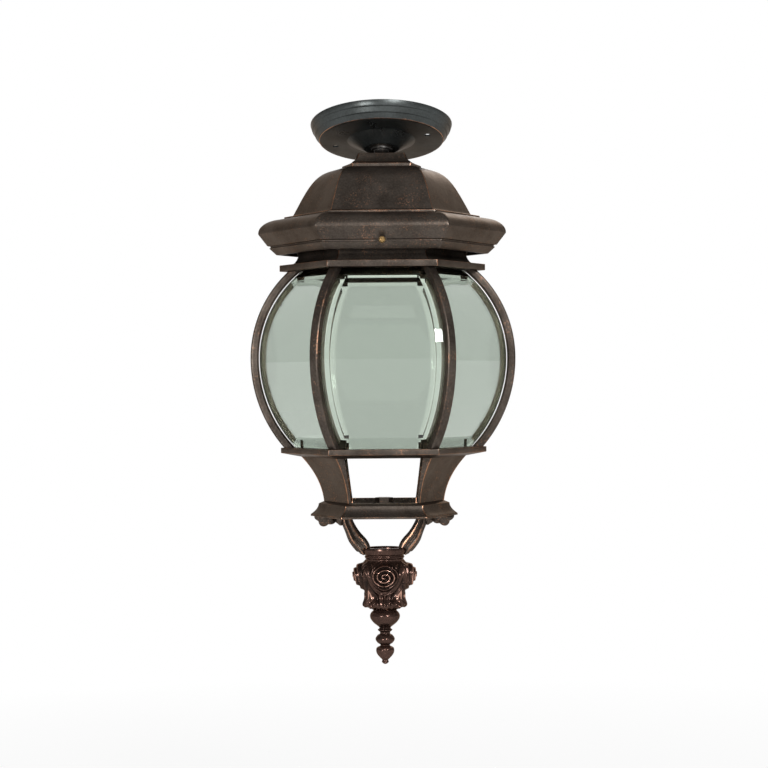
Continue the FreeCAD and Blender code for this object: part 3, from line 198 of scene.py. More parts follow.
class LanternStage(bpy.types.PropertyGroup):
    """Where the camera stands and how the stage is lit."""

    camera_distance: bpy.props.FloatProperty(
        name="Camera distance", description="From the lantern's axis to the camera",
        default=2.133, min=0.5, max=10, unit="LENGTH")
    camera_drop: bpy.props.FloatProperty(
        name="Camera drop", description="Camera's height below the ceiling point",
        default=0.2595, min=-1, max=2, unit="LENGTH")
    camera_roll: bpy.props.FloatProperty(
        name="Camera roll", description="Turn of the picture",
        default=math.radians(0.44), subtype="ANGLE")
    light_level: bpy.props.FloatProperty(
        name="Light level", description="Brightness of all lamps together",
        default=1.0, min=0, max=4)


# ---------------------------------------------------------------- surfaces

def hung(points):
    """Points given as (x, y, drop) in millimetres from the lantern's axis, in metres in the frame."""
    return PIVOT + np.asarray(points, dtype=float) * np.array([MM, MM, -MM])


def under_ceiling(points):
    """Points given as (x, y, height) in millimetres in the sloping canopy's own axes, in metres in the
    frame."""
    across, along, height = np.moveaxis(np.asarray(points, dtype=float) * MM, -1, 0)
    lean, rise = CEILING_UP[1:]
    return np.stack([across, along * rise + height * lean, height * rise - along * lean], axis=-1)


def ring_angles(count):
    """Angles of evenly spaced columns round an axis."""
    return np.linspace(0, 2 * math.pi, count, endpoint=False)


def ramp(value, start, length):
    """0 up to the start, 1 past the start and length, and a straight line in between."""
    return np.clip((value - start) / length, 0, 1)


def hump(distance, width):
    """1 at no distance, falling off smoothly to either side over about the width."""
    return np.exp(-(distance / width) ** 2)


def grid_quads(rows, columns, wrap_rows, wrap_columns, start):
    """Corner numbers of every quad of a grid of points, row by row."""
    row = np.arange(rows if wrap_rows else rows - 1)
    column = np.arange(columns if wrap_columns else columns - 1)
    row, column = np.meshgrid(row, column, indexing="ij")
    next_row = (row + 1) % rows
    next_column = (column + 1) % columns
    corners = (row * columns + column, row * columns + next_column,
               next_row * columns + next_column, next_row * columns + column)
    return start + np.stack(corners, axis=-1).reshape(-1, 4)


def make_piece(name, patches, finish, body, replaced=(), sharp=SHARP_ANGLE):
    """One object with a finish, riding on a body and standing for the replaced CAD nodes. Each patch is a
    grid of points with its wear, which also carries painted shade and painted light, and whether it joins
    up down the rows and round the columns. Points that meet are merged, and faces point outward."""
    points = []
    quads = []
    wears = []
    start = 0
    for grid, wear_and_painted_light, wrap_rows, wrap_columns in patches:
        rows, columns = grid.shape[:2]
        points.append(grid.reshape(-1, 3))
        wears.append(np.broadcast_to(wear_and_painted_light, (rows, columns)).reshape(-1))
        quads.append(grid_quads(rows, columns, wrap_rows, wrap_columns, start))
        start += rows * columns
    mesh = bpy.data.meshes.new(name)
    mesh.from_pydata(np.concatenate(points).tolist(), [], np.concatenate(quads).tolist())
    layer = mesh.attributes.new("wear_and_painted_light", "FLOAT", "POINT")
    layer.data.foreach_set("value", np.concatenate(wears).astype(np.float32))
    clean_mesh(mesh)
    mesh.polygons.foreach_set("use_smooth", np.ones(len(mesh.polygons), dtype=bool))
    mesh.set_sharp_from_angle(angle=math.radians(sharp))
    mesh.materials.append(finish_of(finish))
    piece = bpy.data.objects.new(name, mesh)
    bpy.context.scene.collection.objects.link(piece)
    if replaced:
        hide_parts(*replaced)
    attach(piece, body)
    return piece


def make_hung(name, points, wear_and_painted_light, finish, body, node, closed=False, sharp=SHARP_ANGLE):
    """A piece of the lantern that stands for one CAD node, from a single grid that joins up round its
    columns and, where it is closed, from its last row to its first."""
    make_piece(name, [(hung(points), wear_and_painted_light, closed, True)], finish, body, (node,), sharp)


def clean_mesh(mesh):
    """Merge points that meet, drop what that leaves without area, and turn every face outward."""
    shell = bmesh.new()
    shell.from_mesh(mesh)
    bmesh.ops.remove_doubles(shell, verts=shell.verts, dist=MERGE_DISTANCE)
    bmesh.ops.dissolve_degenerate(shell, edges=shell.edges, dist=THINNEST_FACE)
    bmesh.ops.recalc_face_normals(shell, faces=shell.faces)
    shell.to_mesh(mesh)
    shell.free()


def bend_middle(entry, corner, leave):
    """Middle of the parabola that bridges a corner from a point before it to a point after it."""
    return entry * 0.25 + corner * 0.5 + leave * 0.25


def softened(profile, radius):
    """The corners of a profile cut back by a radius, at most by nearly half a side, and rounded with a
    parabola through three points. The first two columns are the place, and the last is how worn each
    corner is; a corner with no wear lies on a curve and stays as it is. The two ends stay."""
    most = 0.45
    profile = np.asarray(profile, dtype=float)
    corner = profile[1:-1]
    back = profile[:-2] - corner
    ahead = profile[2:] - corner
    back_length = np.linalg.norm(back[:, :2], axis=1, keepdims=True)
    ahead_length = np.linalg.norm(ahead[:, :2], axis=1, keepdims=True)
    entry = corner + back * np.minimum(radius / np.maximum(back_length, TINY), most)
    leave = corner + ahead * np.minimum(radius / np.maximum(ahead_length, TINY), most)
    middle = bend_middle(entry, corner, leave)
    entry[:, -1] = corner[:, -1] * 0.5
    leave[:, -1] = corner[:, -1] * 0.5
    middle[:, -1] = corner[:, -1]
    hard = corner[:, -1] > 0
    stacked = np.stack([entry, np.where(hard[:, None], middle, corner), leave], axis=1)
    kept = np.stack([hard, np.ones_like(hard), hard], axis=1)
    return np.concatenate([profile[:1], stacked[kept], profile[-1:]])


def turned(profile, columns=96, ripple=None):
    """A profile of (radius, height, wear) carried round the upright axis: x is the radius times the
    cosine of the angle and y the radius times its sine. A ripple changes the radius by angle."""
    profile = np.asarray(profile, dtype=float)
    angle = ring_angles(columns)
    radius, height, wear_and_painted_light = (np.repeat(profile[:, place:place + 1], columns, axis=1) for place in range(3))
    if ripple is not None:
        radius = radius + ripple(angle, height)
    return np.stack([radius * np.cos(angle), radius * np.sin(angle), height], axis=-1), wear_and_painted_light


# places of the columns along a face of the six-sided plan, as shares of its length, closer at its ends
FACE_SHARES = np.array([0.012, 0.035, 0.08, 0.16, 0.3, 0.5, 0.7, 0.84, 0.92, 0.965, 0.988])


def six_sided(profile, rounding, corner_wear=1.0):
    """A profile of (drop, reach, half, flat, wear) carried round the six-sided plan, whose corners are
    (reach, 0) and (half, flat) and their mirror images. Each corner is cut back by the rounding and
    bridged by a parabola, and the wear falls off with the distance from the corner."""
    most = 0.3
    wear_reach = 1.4
    profile = np.asarray(profile, dtype=float)
    drop, reach, half, flat, row_wear = profile.T
    zero = np.zeros_like(reach)
    corners = np.stack([
        np.stack([reach, half, -half, -reach, -half, half], axis=1),
        np.stack([zero, flat, flat, zero, -flat, -flat], axis=1)], axis=-1)
    ahead = np.roll(corners, -1, axis=1) - corners
    behind = np.roll(corners, 1, axis=1) - corners
    side = np.maximum(np.linalg.norm(ahead, axis=-1, keepdims=True), TINY)
    last_side = np.maximum(np.linalg.norm(behind, axis=-1, keepdims=True), TINY)
    entry = corners + behind * np.minimum(rounding / last_side, most)
    leave = corners + ahead * np.minimum(rounding / side, most)
    bend = np.stack([entry, bend_middle(entry, corners, leave), leave], axis=2)
    span = np.roll(entry, -1, axis=1) - leave
    face = leave[:, :, None, :] + span[:, :, None, :] * FACE_SHARES[:, None]
    rows = len(profile)
    plan = np.concatenate([bend, face], axis=2).reshape(rows, -1, 2)
    bend_wear = np.broadcast_to(np.array([0.6, 1.0, 0.6]), bend.shape[:3])
    face_wear = 0.7 * np.exp(-np.minimum(FACE_SHARES, 1 - FACE_SHARES) * side / wear_reach)
    wear_and_painted_light = np.concatenate([bend_wear, face_wear], axis=2).reshape(rows, -1)
    wear_and_painted_light = np.maximum(wear_and_painted_light * corner_wear, row_wear[:, None])
    heights = np.repeat(drop[:, None], plan.shape[1], axis=1)
    return np.concatenate([plan, heights[..., None]], axis=-1), wear_and_painted_light


def plan_row(drop, reach, wear_and_painted_light=0.0, spare=0.0):
    """A profile row of a hexagon whose front and back are wider than regular by twice the spare."""
    return (drop, reach, reach / 2 + spare, reach * SQUARE, wear_and_painted_light)


def through(knots, count):
    """Points along a smooth curve through knots: on each span a cubic whose slope at a knot is half the
    step between its neighbours."""
    knots = np.asarray(knots, dtype=float)
    padded = np.concatenate([2 * knots[:1] - knots[1:2], knots, 2 * knots[-1:] - knots[-2:-1]])
    place = np.linspace(0, len(knots) - 1, count)
    span = np.minimum(place.astype(int), len(knots) - 2)
    share = (place - span)[:, None]
    first, second, third, fourth = (padded[span + step] for step in range(4))
    return 0.5 * (2 * second + (third - first) * share
                  + (2 * first - 5 * second + 4 * third - fourth) * share ** 2
                  + (3 * second - first - 3 * third + fourth) * share ** 3)


def capped(points, wear_and_painted_light):
    """A tube's grid with a row at each end drawn in to the middle of that end."""
    first, last = (np.broadcast_to(end.mean(axis=0), points[:1].shape) for end in (points[0], points[-1]))
    return np.concatenate([first, points, last]), np.concatenate([wear_and_painted_light[:1], wear_and_painted_light, wear_and_painted_light[-1:]])


def slab(outer, inner, wear_and_painted_light):
    """A closed plate from its outer and inner faces: each row runs along one and back along the other,
    and the first and last rows are drawn together."""
    loop = np.concatenate([outer, inner[:, ::-1]], axis=1)
    loop_wear = np.concatenate([wear_and_painted_light, wear_and_painted_light[:, ::-1]], axis=1)
    middle = (outer + inner) / 2
    top = np.concatenate([middle[:1], middle[:1, ::-1]], axis=1)
    foot = np.concatenate([middle[-1:], middle[-1:, ::-1]], axis=1)
    grid = np.concatenate([top, loop, foot])
    return grid, np.concatenate([loop_wear[:1], loop_wear, loop_wear[-1:]])


def turn_about_axis(points, azimuth):
    """Points turned round the lantern's axis by an azimuth in degrees."""
    cosine = math.cos(math.radians(azimuth))
    sine = math.sin(math.radians(azimuth))
    turn = np.array([[cosine, -sine, 0], [sine, cosine, 0], [0, 0, 1]])
    return points @ turn.T


# ---------------------------------------------------------------- finishes

def new_group(name, inputs, outputs):
    """An empty shader node group with sockets of the given names and kinds, and its nodes for input and
    output."""
    group = bpy.data.node_groups.new(name, "ShaderNodeTree")
    for way, sockets in (("INPUT", inputs), ("OUTPUT", outputs)):
        for label, kind in sockets.items():
            group.interface.new_socket(name=label, in_out=way, socket_type=f"NodeSocket{kind}")
    return group, group.nodes.new("NodeGroupInput"), group.nodes.new("NodeGroupOutput")


def wire(tree, source, target):
    """Join an output socket to an input socket."""
    tree.links.new(source, target)


def noise(tree, vector, scale, detail=6.0, roughness=0.6):
    """A noise between 0 and 1 at a place, with the scale in waves for each metre."""
    texture = tree.nodes.new("ShaderNodeTexNoise")
    texture.inputs["Scale"].default_value = scale
    texture.inputs["Detail"].default_value = detail
    texture.inputs["Roughness"].default_value = roughness
    wire(tree, vector, texture.inputs["Vector"])
    return texture.outputs["Fac"]


def stretch(tree, value, low, high, to_low=0.0, to_high=1.0):
    """A value's range from low to high brought to another range, and held at its ends."""
    node = tree.nodes.new("ShaderNodeMapRange")
    for label, limit in (("From Min", low), ("From Max", high), ("To Min", to_low), ("To Max", to_high)):
        node.inputs[label].default_value = limit
    wire(tree, value, node.inputs["Value"])
    return node.outputs["Result"]


def math_node(tree, operation, first, second):
    """A sum, product or other result of two values, each a socket or a number."""
    node = tree.nodes.new("ShaderNodeMath")
    node.operation = operation
    for socket, value in zip(node.inputs, (first, second)):
        if isinstance(value, (int, float)):
            socket.default_value = value
        else:
            wire(tree, value, socket)
    return node.outputs["Value"]


def times(tree, first, second):
    """The product of two values."""
    return math_node(tree, "MULTIPLY", first, second)


def plus(tree, first, second):
    """The sum of two values."""
    return math_node(tree, "ADD", first, second)


def mix_colour(tree, share, first, second):
    """First and second colour blended by a share; each colour is a socket or four numbers."""
    node = tree.nodes.new("ShaderNodeMix")
    node.data_type = "RGBA"
    sockets = {socket.identifier: socket for socket in node.inputs}
    wire(tree, share, sockets["Factor_Float"])
    for label, value in (("A_Color", first), ("B_Color", second)):
        if isinstance(value, tuple):
            sockets[label].default_value = value
        else:
            wire(tree, value, sockets[label])
    return next(socket for socket in node.outputs if socket.identifier == "Result_Color")


def make_aged_metal_group():
    """Aged cast metal: two browns in soft clouds and flecks, the dark one also as painted shade in hollows,
    where the wear is below nought, and copper where the wear and a scratchy noise together pass a
    threshold."""
    group, start, end = new_group(
        "aged_metal",
        {"Colour": "Color", "Dark": "Color", "Worn": "Color", "Wear Amount": "Float", "Speckle": "Float",
         "Roughness": "Float", "Bareness": "Float"},
        {"Colour": "Color", "Roughness": "Float", "Metallic": "Float", "Height": "Float"})
    place = group.nodes.new("ShaderNodeTexCoord").outputs["Object"]
    attribute = group.nodes.new("ShaderNodeAttribute")
    attribute.attribute_name = "wear_and_painted_light"
    wear_and_painted_light = attribute.outputs["Fac"]
    # the browns, with the dark one as painted shade where the wear is below nought
    clouds = stretch(group, noise(group, place, scale=30.0, detail=5.0), 0.36, 0.64, 0.2, 0.8)
    flecks = stretch(group, noise(group, place, scale=560.0, detail=3.0), 0.40, 0.66, 0.0, 0.4)
    clear_of_painted_shade = stretch(group, wear_and_painted_light, -0.7, 0.0)
    tone = times(group, plus(group, clouds, flecks), clear_of_painted_shade)
    base = mix_colour(group, tone, start.outputs["Dark"], start.outputs["Colour"])
    # the copper on worn edges and in speckles
    scratch = noise(group, place, scale=420.0, detail=4.0, roughness=0.7)
    patch = noise(group, place, scale=46.0, detail=4.0)
    broken = plus(group, times(group, scratch, 0.55), times(group, patch, 0.75))
    drive = times(group, wear_and_painted_light, start.outputs["Wear Amount"])
    worn = stretch(group, plus(group, drive, broken), 1.06, 1.30)
    grains = stretch(group, noise(group, place, scale=620.0, detail=2.0, roughness=0.5), 0.56, 0.70)
    rubbed = stretch(group, patch, 0.46, 0.68)
    speckle = times(group, times(group, grains, rubbed), start.outputs["Speckle"])
    bare = math_node(group, "MAXIMUM", worn, speckle)
    wire(group, mix_colour(group, bare, base, start.outputs["Worn"]), end.inputs["Colour"])
    # copper is more metallic and smoother than the brown skin
    metallic = plus(group, start.outputs["Bareness"], times(group, bare, 0.5))
    wire(group, metallic, end.inputs["Metallic"])
    spread = times(group, math_node(group, "SUBTRACT", patch, 0.5), 0.3)
    rough = plus(group, start.outputs["Roughness"], spread)
    smoother = math_node(group, "SUBTRACT", rough, times(group, bare, 0.1))
    wire(group, smoother, end.inputs["Roughness"])
    # the cast skin's small relief
    pits = noise(group, place, scale=650.0, detail=3.0, roughness=0.55)
    swell = noise(group, place, scale=130.0, detail=3.0, roughness=0.5)
    wire(group, plus(group, times(group, pits, 0.35), swell), end.inputs["Height"])
    return group


def new_material(name):
    """A material, its tree and its Principled shader."""
    material = bpy.data.materials.new(f"{name}_finish")
    material.use_nodes = True
    tree = material.node_tree
    return material, tree, tree.nodes["Principled BSDF"]


def with_alpha(colour):
    """A colour's three numbers with a fourth for full cover."""
    return (*colour, 1.0)


def bump(tree, shader, height, strength, distance):
    """Fine relief on a shader from a height, by a strength and a depth in metres."""
    node = tree.nodes.new("ShaderNodeBump")
    node.inputs["Strength"].default_value = strength
    node.inputs["Distance"].default_value = distance
    wire(tree, height, node.inputs["Height"])
    wire(tree, node.outputs["Normal"], shader.inputs["Normal"])


def make_aged_metal(name, colour, dark, worn, wear_amount, speckle, roughness, bareness, grain=0.25):
    """A cast or spun piece's finish, made from the aged metal group."""
    material, tree, shader = new_material(name)
    shader.inputs["Specular IOR Level"].default_value = 0.28
    shader.inputs["Specular Tint"].default_value = (0.50, 0.42, 0.36, 1.0)
    node = tree.nodes.new("ShaderNodeGroup")
    node.node_tree = bpy.data.node_groups["aged_metal"]
    for label, value in (("Colour", with_alpha(colour)), ("Dark", with_alpha(dark)),
                         ("Worn", with_alpha(worn)), ("Wear Amount", wear_amount), ("Speckle", speckle),
                         ("Roughness", roughness), ("Bareness", bareness)):
        node.inputs[label].default_value = value
    for source, target in (("Colour", "Base Color"), ("Roughness", "Roughness"), ("Metallic", "Metallic")):
        wire(tree, node.outputs[source], shader.inputs[target])
    bump(tree, shader, node.outputs["Height"], grain, 0.0006)
    return material


def make_glass(colour):
    """Clear float glass with a grey-green tint in the body of each pane and a clear ground margin."""
    material, tree, shader = new_material("bevelled_glass")
    shader.inputs["Transmission Weight"].default_value = 1.0
    shader.inputs["Metallic"].default_value = 0.0
    shader.inputs["Roughness"].default_value = 0.0
    shader.inputs["IOR"].default_value = 1.45
    margin = tree.nodes.new("ShaderNodeAttribute")
    margin.attribute_name = "wear_and_painted_light"
    tint = mix_colour(tree, margin.outputs["Fac"], with_alpha(colour), (0.82, 0.88, 0.81, 1.0))
    wire(tree, tint, shader.inputs["Base Color"])
    return material


def make_plain(name, colour, roughness, metallic, scale, grain):
    """A hidden fitting's finish: one colour, with a fine grain that changes its roughness a little."""
    material, tree, shader = new_material(name)
    shader.inputs["Base Color"].default_value = with_alpha(colour)
    shader.inputs["Metallic"].default_value = metallic
    place = tree.nodes.new("ShaderNodeTexCoord").outputs["Object"]
    grains = noise(tree, place, scale, detail=4.0)
    wire(tree, stretch(tree, grains, 0.3, 0.7, roughness - 0.08, roughness + 0.08),
         shader.inputs["Roughness"])
    bump(tree, shader, grains, grain, 0.0003)
    return material


def finish_of(name):
    """The material of a finish, whose name keeps it apart from the frame's own."""
    return bpy.data.materials[f"{name}_finish"]


def dress(finish, *names):
    """Give CAD nodes a finish."""
    for name in names:
        mesh = NODES[name].data
        mesh.materials.clear()
        mesh.materials.append(finish_of(finish))


def softness():
    """Radius of the soft edges of cast pieces, in millimetres."""
    return bpy.context.scene.lantern_sizes.edge_softness / MM


# ---------------------------------------------------------------- pieces

class LANTERN_OT_finishes(bpy.types.Operator):
    """Make every finish of the lantern"""

    bl_idname = "lantern.finishes"
    bl_label = "Finishes"

    def execute(self, context):
        colours = context.scene.lantern_colours
        copper = colours.copper[:]
        make_aged_metal_group()
        make_aged_metal("bronze", colours.bronze[:], colours.bronze_dark[:], copper,
                        wear_amount=0.68, speckle=0.6, roughness=0.36, bareness=0.75)
        make_aged_metal("canopy_bronze", colours.canopy[:], (0.036, 0.039, 0.038), copper,
                        wear_amount=0.72, speckle=0.0, roughness=0.32, bareness=0.75, grain=0.10)
        # the finial's pale copper on its ridges is rubbed copper, and its brightness and amount are partly
        # a painted highlight
        make_aged_metal("finial_bronze", colours.finial[:], (0.014, 0.011, 0.010), (0.66, 0.38, 0.29),
                        wear_amount=0.86, speckle=0.3, roughness=0.20, bareness=0.78, grain=0.15)
        make_aged_metal("brass", (0.35, 0.22, 0.09), (0.16, 0.10, 0.04), (0.62, 0.45, 0.22),
                        wear_amount=0.7, speckle=0.1, roughness=0.30, bareness=0.5, grain=0.1)
        # pale bronze for the glass retainers: a tan they have, brightened further as painted light that
        # lifts them out of the shade behind the ribs
        make_aged_metal("pale_bronze_and_painted_light", (0.36, 0.32, 0.26), (0.18, 0.15, 0.12), copper,
                        wear_amount=0.5, speckle=0.2, roughness=0.42, bareness=0.6)
        make_glass(colours.glass[:])
        make_plain("zinc_steel", (0.11, 0.105, 0.10), roughness=0.42, metallic=1.0, scale=300.0, grain=0.05)
        make_plain("black_plastic", (0.012, 0.012, 0.012), roughness=0.5, metallic=0.0, scale=500.0,
                   grain=0.1)
        make_plain("white_plastic", (0.72, 0.71, 0.67), roughness=0.4, metallic=0.0, scale=400.0,
                   grain=0.05)
        make_plain("white_ceramic", (0.78, 0.77, 0.74), roughness=0.25, metallic=0.0, scale=200.0,
                   grain=0.05)
        return {"FINISHED"}


def canopy_profile():
    """Closed profile of the dish: down its stepped side, across its face, down the boss and back up
    inside, as (radius, height, wear). The rings in the flat face keep it smooth by the screw holes."""
    slope = (CANOPY_RADIUS - CANOPY_FACE_RADIUS) / CANOPY_STEPS
    band = CANOPY_DEPTH / CANOPY_STEPS
    boss_foot = -CANOPY_DEPTH - 8.9
    hole = 10.9
    face_rings = (58.0, 54.0, 51.0, 48.0, 45.0, 41.0)
    rim = CANOPY_RADIUS - CANOPY_WALL
    rows = [(rim, 0.0, 0.2), (CANOPY_RADIUS, 0.0, 0.5)]
    for number in range(1, CANOPY_STEPS):
        reach = CANOPY_RADIUS - slope * number
        rows.append((reach + 1.2, -band * number, 0.35))
        rows.append((reach, -band * number - 0.6, 0.1))
    rows += [
        (CANOPY_FACE_RADIUS, -CANOPY_DEPTH, 1.0),
        *((reach, -CANOPY_DEPTH, 0.0) for reach in face_rings),
        (34.0, -CANOPY_DEPTH, 0.05),
        (17.0, boss_foot, 0.2),
        (hole, boss_foot, 0.2),
        (hole, boss_foot + CANOPY_WALL, 0.1),
        (16.2, boss_foot + CANOPY_WALL, 0.1),
        (33.2, -CANOPY_DEPTH + CANOPY_WALL, 0.1),
        (CANOPY_FACE_RADIUS - CANOPY_WALL, -CANOPY_DEPTH + CANOPY_WALL, 0.1),
        (rim - CANOPY_WALL, 0.0, 0.2),
        (rim, 0.0, 0.2),
    ]
    return softened(rows, softness())


class LANTERN_OT_canopy(bpy.types.Operator):
    """Spun ceiling canopy with its two screw holes, and what stands inside it"""

    bl_idname = "lantern.canopy"
    bl_label = "Canopy"

    def execute(self, context):
        points, wear_and_painted_light = turned(canopy_profile(), 144)
        dish = make_piece("ceiling_canopy", [(under_ceiling(points), wear_and_painted_light, True, True)],
                          "canopy_bronze", "canopy", ("canopy_dish",))
        drill_screw_holes(dish)
        dress("white_plastic", "terminal_block")
        dress("brass", "earth_stud")
        return {"FINISHED"}


def drill_screw_holes(dish):
    """Cut the two ceiling screw holes through the canopy's face with plain cylinders."""
    pattern = MOUNTS["ceiling_screws"]["dims"]
    ring = ring_angles(32)
    for side in (1, -1):
        away = side * pattern["pcd_mm"] / 2
        across = math.cos(SCREW_LINE_TURN) * away + pattern["hole_r_mm"] * np.cos(ring)
        along = math.sin(SCREW_LINE_TURN) * away + pattern["hole_r_mm"] * np.sin(ring)
        rows = [np.stack([across, along, np.full(ring.shape, height)], axis=-1)
                for height in (-CANOPY_DEPTH - 3, -CANOPY_DEPTH + 5)]
        grid, wear_and_painted_light = capped(np.stack(rows), np.zeros((len(rows), len(ring))))
        drill = make_piece("drill", [(under_ceiling(grid), wear_and_painted_light, False, True)], "canopy_bronze", "canopy")
        cutter = dish.modifiers.new("screw_hole", "BOOLEAN")
        cutter.operation = "DIFFERENCE"
        cutter.solver = "EXACT"
        cutter.object = drill
        with bpy.context.temp_override(object=dish, active_object=dish, selected_objects=[dish]):
            bpy.ops.object.modifier_apply(modifier=cutter.name)
        bpy.data.objects.remove(drill)
    dish.data.set_sharp_from_angle(angle=math.radians(SHARP_ANGLE))


class LANTERN_OT_swivel(bpy.types.Operator):
    """Finish the ball swivel, the stem and the lamp holder"""

    bl_idname = "lantern.swivel"
    bl_label = "Swivel and lamp holder"

    def execute(self, context):
        dress("zinc_steel", "swivel_seat", "swivel_retainer", "swivel_ball", "swivel_pins",
              "stem_nipple", "stem_washer", "stem_nut", "centre_stud")
        dress("black_plastic", "lampholder_cap", "lampholder_body")
        dress("white_ceramic", "lampholder_insulator")
        dress("brass", "lampholder_sleeve", "lampholder_contact")
        return {"FINISHED"}


# the roof: where its forms lie, and the (reach, drop) points that draw its bell curve down to the foot
LEDGE_REACH = 39.6
DOME_FOOT = 68.4
FILLET_FOOT = 71.8
EAVE_FOOT = 86.1
FASCIA_FOOT = 98.8
DOME_PULLS = ((LEDGE_REACH, 22.7), (66.0, 24.2), (72.0, 37.2))


def dome_rows(foot_reach, foot_drop, count):
    """Rows of the bell curve from the ledge to the dome's foot: a cubic drawn by four (reach, drop)
    points, with the front a little wider than regular, most at the top."""
    share = np.linspace(0, 1, count)
    rest = 1 - share
    pulls = np.array([*DOME_PULLS, (foot_reach, foot_drop)])
    weights = np.stack([rest ** 3, 3 * rest ** 2 * share, 3 * rest * share ** 2, share ** 3], axis=-1)
    reach, drop = (weights @ pulls).T
    spare = 9 * rest + 4.6 * share
    wear_and_painted_light = np.zeros(count)
    wear_and_painted_light[0] = 0.5
    wear_and_painted_light[-1] = 0.2
    return np.stack([drop, reach, reach / 2 + spare, reach * SQUARE, wear_and_painted_light], axis=-1)


def ovolo_rows(start_reach, start_drop, end_reach, end_drop, count):
    """Rows of the rounded eave: a quarter oval from its top to its widest edge."""
    angle = np.linspace(0, math.pi / 2, count)
    reach = start_reach + (end_reach - start_reach) * np.sin(angle)
    drop = start_drop + (end_drop - start_drop) * (1 - np.cos(angle))
    wear_and_painted_light = np.linspace(0.3, 0.0, count) + 0.45 * (angle / angle[-1]) ** 3
    return np.stack([drop, reach, reach / 2 + FASCIA_SPARE, reach * SQUARE, wear_and_painted_light], axis=-1)


def roof_rows():
    """Profile of the roof, from the middle of its top down the outside and back up the inside."""
    fillet_reach = EAVE_REACH - 26.2
    fascia_reach = EAVE_REACH - 9.2
    groove_reach = fascia_reach - 3.0
    spare = FASCIA_SPARE
    collar = [
        (ROOF_TOP, 0.0, 0.0, 0.0, 0.0),
        (ROOF_TOP, 24.7, 22.6, 24.7 * SQUARE, 0.7),
        (13.0, 26.0, 24.0, 26.0 * SQUARE, 0.0),
        (15.6, 28.0, 26.2, 28.0 * SQUARE, 0.0),
        (17.3, 30.0, 28.5, 30.0 * SQUARE, 1.0),
        plan_row(19.7, LEDGE_REACH, 0.9, 9.0),
    ]
    dome = dome_rows(EAVE_REACH - 35.2, DOME_FOOT, 30)
    fillet = [
        plan_row(DOME_FOOT + 1.5, fillet_reach, 1.0, 2.5),
        plan_row(FILLET_FOOT, fillet_reach, 0.7, 2.5),
    ]
    eave = ovolo_rows(fillet_reach + 2.0, FILLET_FOOT + 0.3, EAVE_REACH, EAVE_FOOT, 16)
    fascia = [
        plan_row(EAVE_FOOT + 0.8, EAVE_REACH, 0.6, spare),
        plan_row(FASCIA_FOOT, fascia_reach, 0.7, spare),
        plan_row(FASCIA_FOOT + 0.4, groove_reach, 0.1, spare),
        plan_row(FASCIA_FOOT + 1.8, groove_reach, 0.1, spare),
        plan_row(FASCIA_FOOT + 2.2, groove_reach + 1.4, 0.4, spare),
        plan_row(LIP_FOOT, fascia_reach - 9.0, 0.7, spare),
    ]
    inside = [
        plan_row(LIP_FOOT, fascia_reach - 12.0, 0.2, spare),
        plan_row(FASCIA_FOOT, fascia_reach - 7.2, 0.0, spare),
        plan_row(EAVE_FOOT + 3.0, EAVE_REACH - 8.4, 0.0, spare),
        plan_row(FILLET_FOOT + 3.3, EAVE_REACH - 29.2, 0.0, spare),
        plan_row(DOME_FOOT + 1.5, EAVE_REACH - 39.4, 0.0, 4.6),
        plan_row(54.0, 74.0, 0.0, 6.0),
        plan_row(38.0, 60.0, 0.0, 7.0),
        plan_row(25.7, 30.0, 0.0, 6.0),
        (12.3, 21.7, 18.4, 21.7 * SQUARE, 0.0),
        (12.3, 0.0, 0.0, 0.0, 0.0),
    ]
    return softened(np.concatenate([collar, dome, fillet, eave, fascia, inside]), softness())


class LANTERN_OT_roof(bpy.types.Operator):
    """Hollow six-sided roof: collar, bell dome, fillet, rounded eave and stepped fascia"""

    bl_idname = "lantern.roof"
    bl_label = "Roof"

    def execute(self, context):
        rows = roof_rows()
        on_dome = rows[:, :1] < DOME_FOOT + 0.6
        points, wear_and_painted_light = six_sided(rows, 0.9, np.where(on_dome, 0.95, 0.45))
        make_hung("bell_roof", points, wear_and_painted_light, "bronze", "lantern", "roof_dome")
        return {"FINISHED"}


class LANTERN_OT_thumbscrews(bpy.types.Operator):
    """Three brass thumbscrews with rounded, dimpled heads"""

    bl_idname = "lantern.thumbscrews"
    bl_label = "Thumbscrews"

    def execute(self, context):
        low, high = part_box("thumbscrew_1")
        drop = (PIVOT[2] - (low[2] + high[2]) / 2) / MM
        end = (PIVOT[1] - low[1]) / MM
        tip = (PIVOT[1] - high[1]) / MM
        head_radius = (high[0] - low[0]) / 2 / MM
        shank_radius = 2.0
        neck = end - 7.0
        profile = [
            (0.0, tip, 0.0), (1.3, tip, 0.2), (shank_radius, tip + 0.8, 0.1), (shank_radius, neck, 0.0),
            (head_radius - 0.8, neck, 0.3), (head_radius, neck + 1.6, 0.5), (head_radius, end - 2.6, 0.5),
            (head_radius - 0.7, end - 0.9, 0.9), (head_radius - 1.6, end, 0.8), (1.1, end - 0.2, 0.4),
            (0.7, end - 0.8, 0.2), (0.0, end - 0.9, 0.0)]
        points, wear_and_painted_light = turned(softened(profile, 0.3), 40)
        outward = np.stack([points[..., 2], points[..., 0], drop + points[..., 1]], axis=-1)
        for number in range(3):
            name = f"thumbscrew_{number + 1}"
            placed = turn_about_axis(outward, -90 + 120 * number)
            make_hung(f"{name}_turned", placed, wear_and_painted_light, "brass", name, name)
        return {"FINISHED"}


# ---------------------------------------------------------------- cage

def rib_curve(drop, inset=0.0):
    """Reach of the curve that runs an inset inside the ribs' outer curve: two arcs that meet upright at
    the belly, the upper one tighter than the lower."""
    drop = np.asarray(drop, dtype=float)
    radius = np.where(drop < BELLY_DROP, UPPER_RIB_RADIUS, LOWER_RIB_RADIUS)
    return BELLY_REACH - radius + np.sqrt((radius - inset) ** 2 - (drop - BELLY_DROP) ** 2)


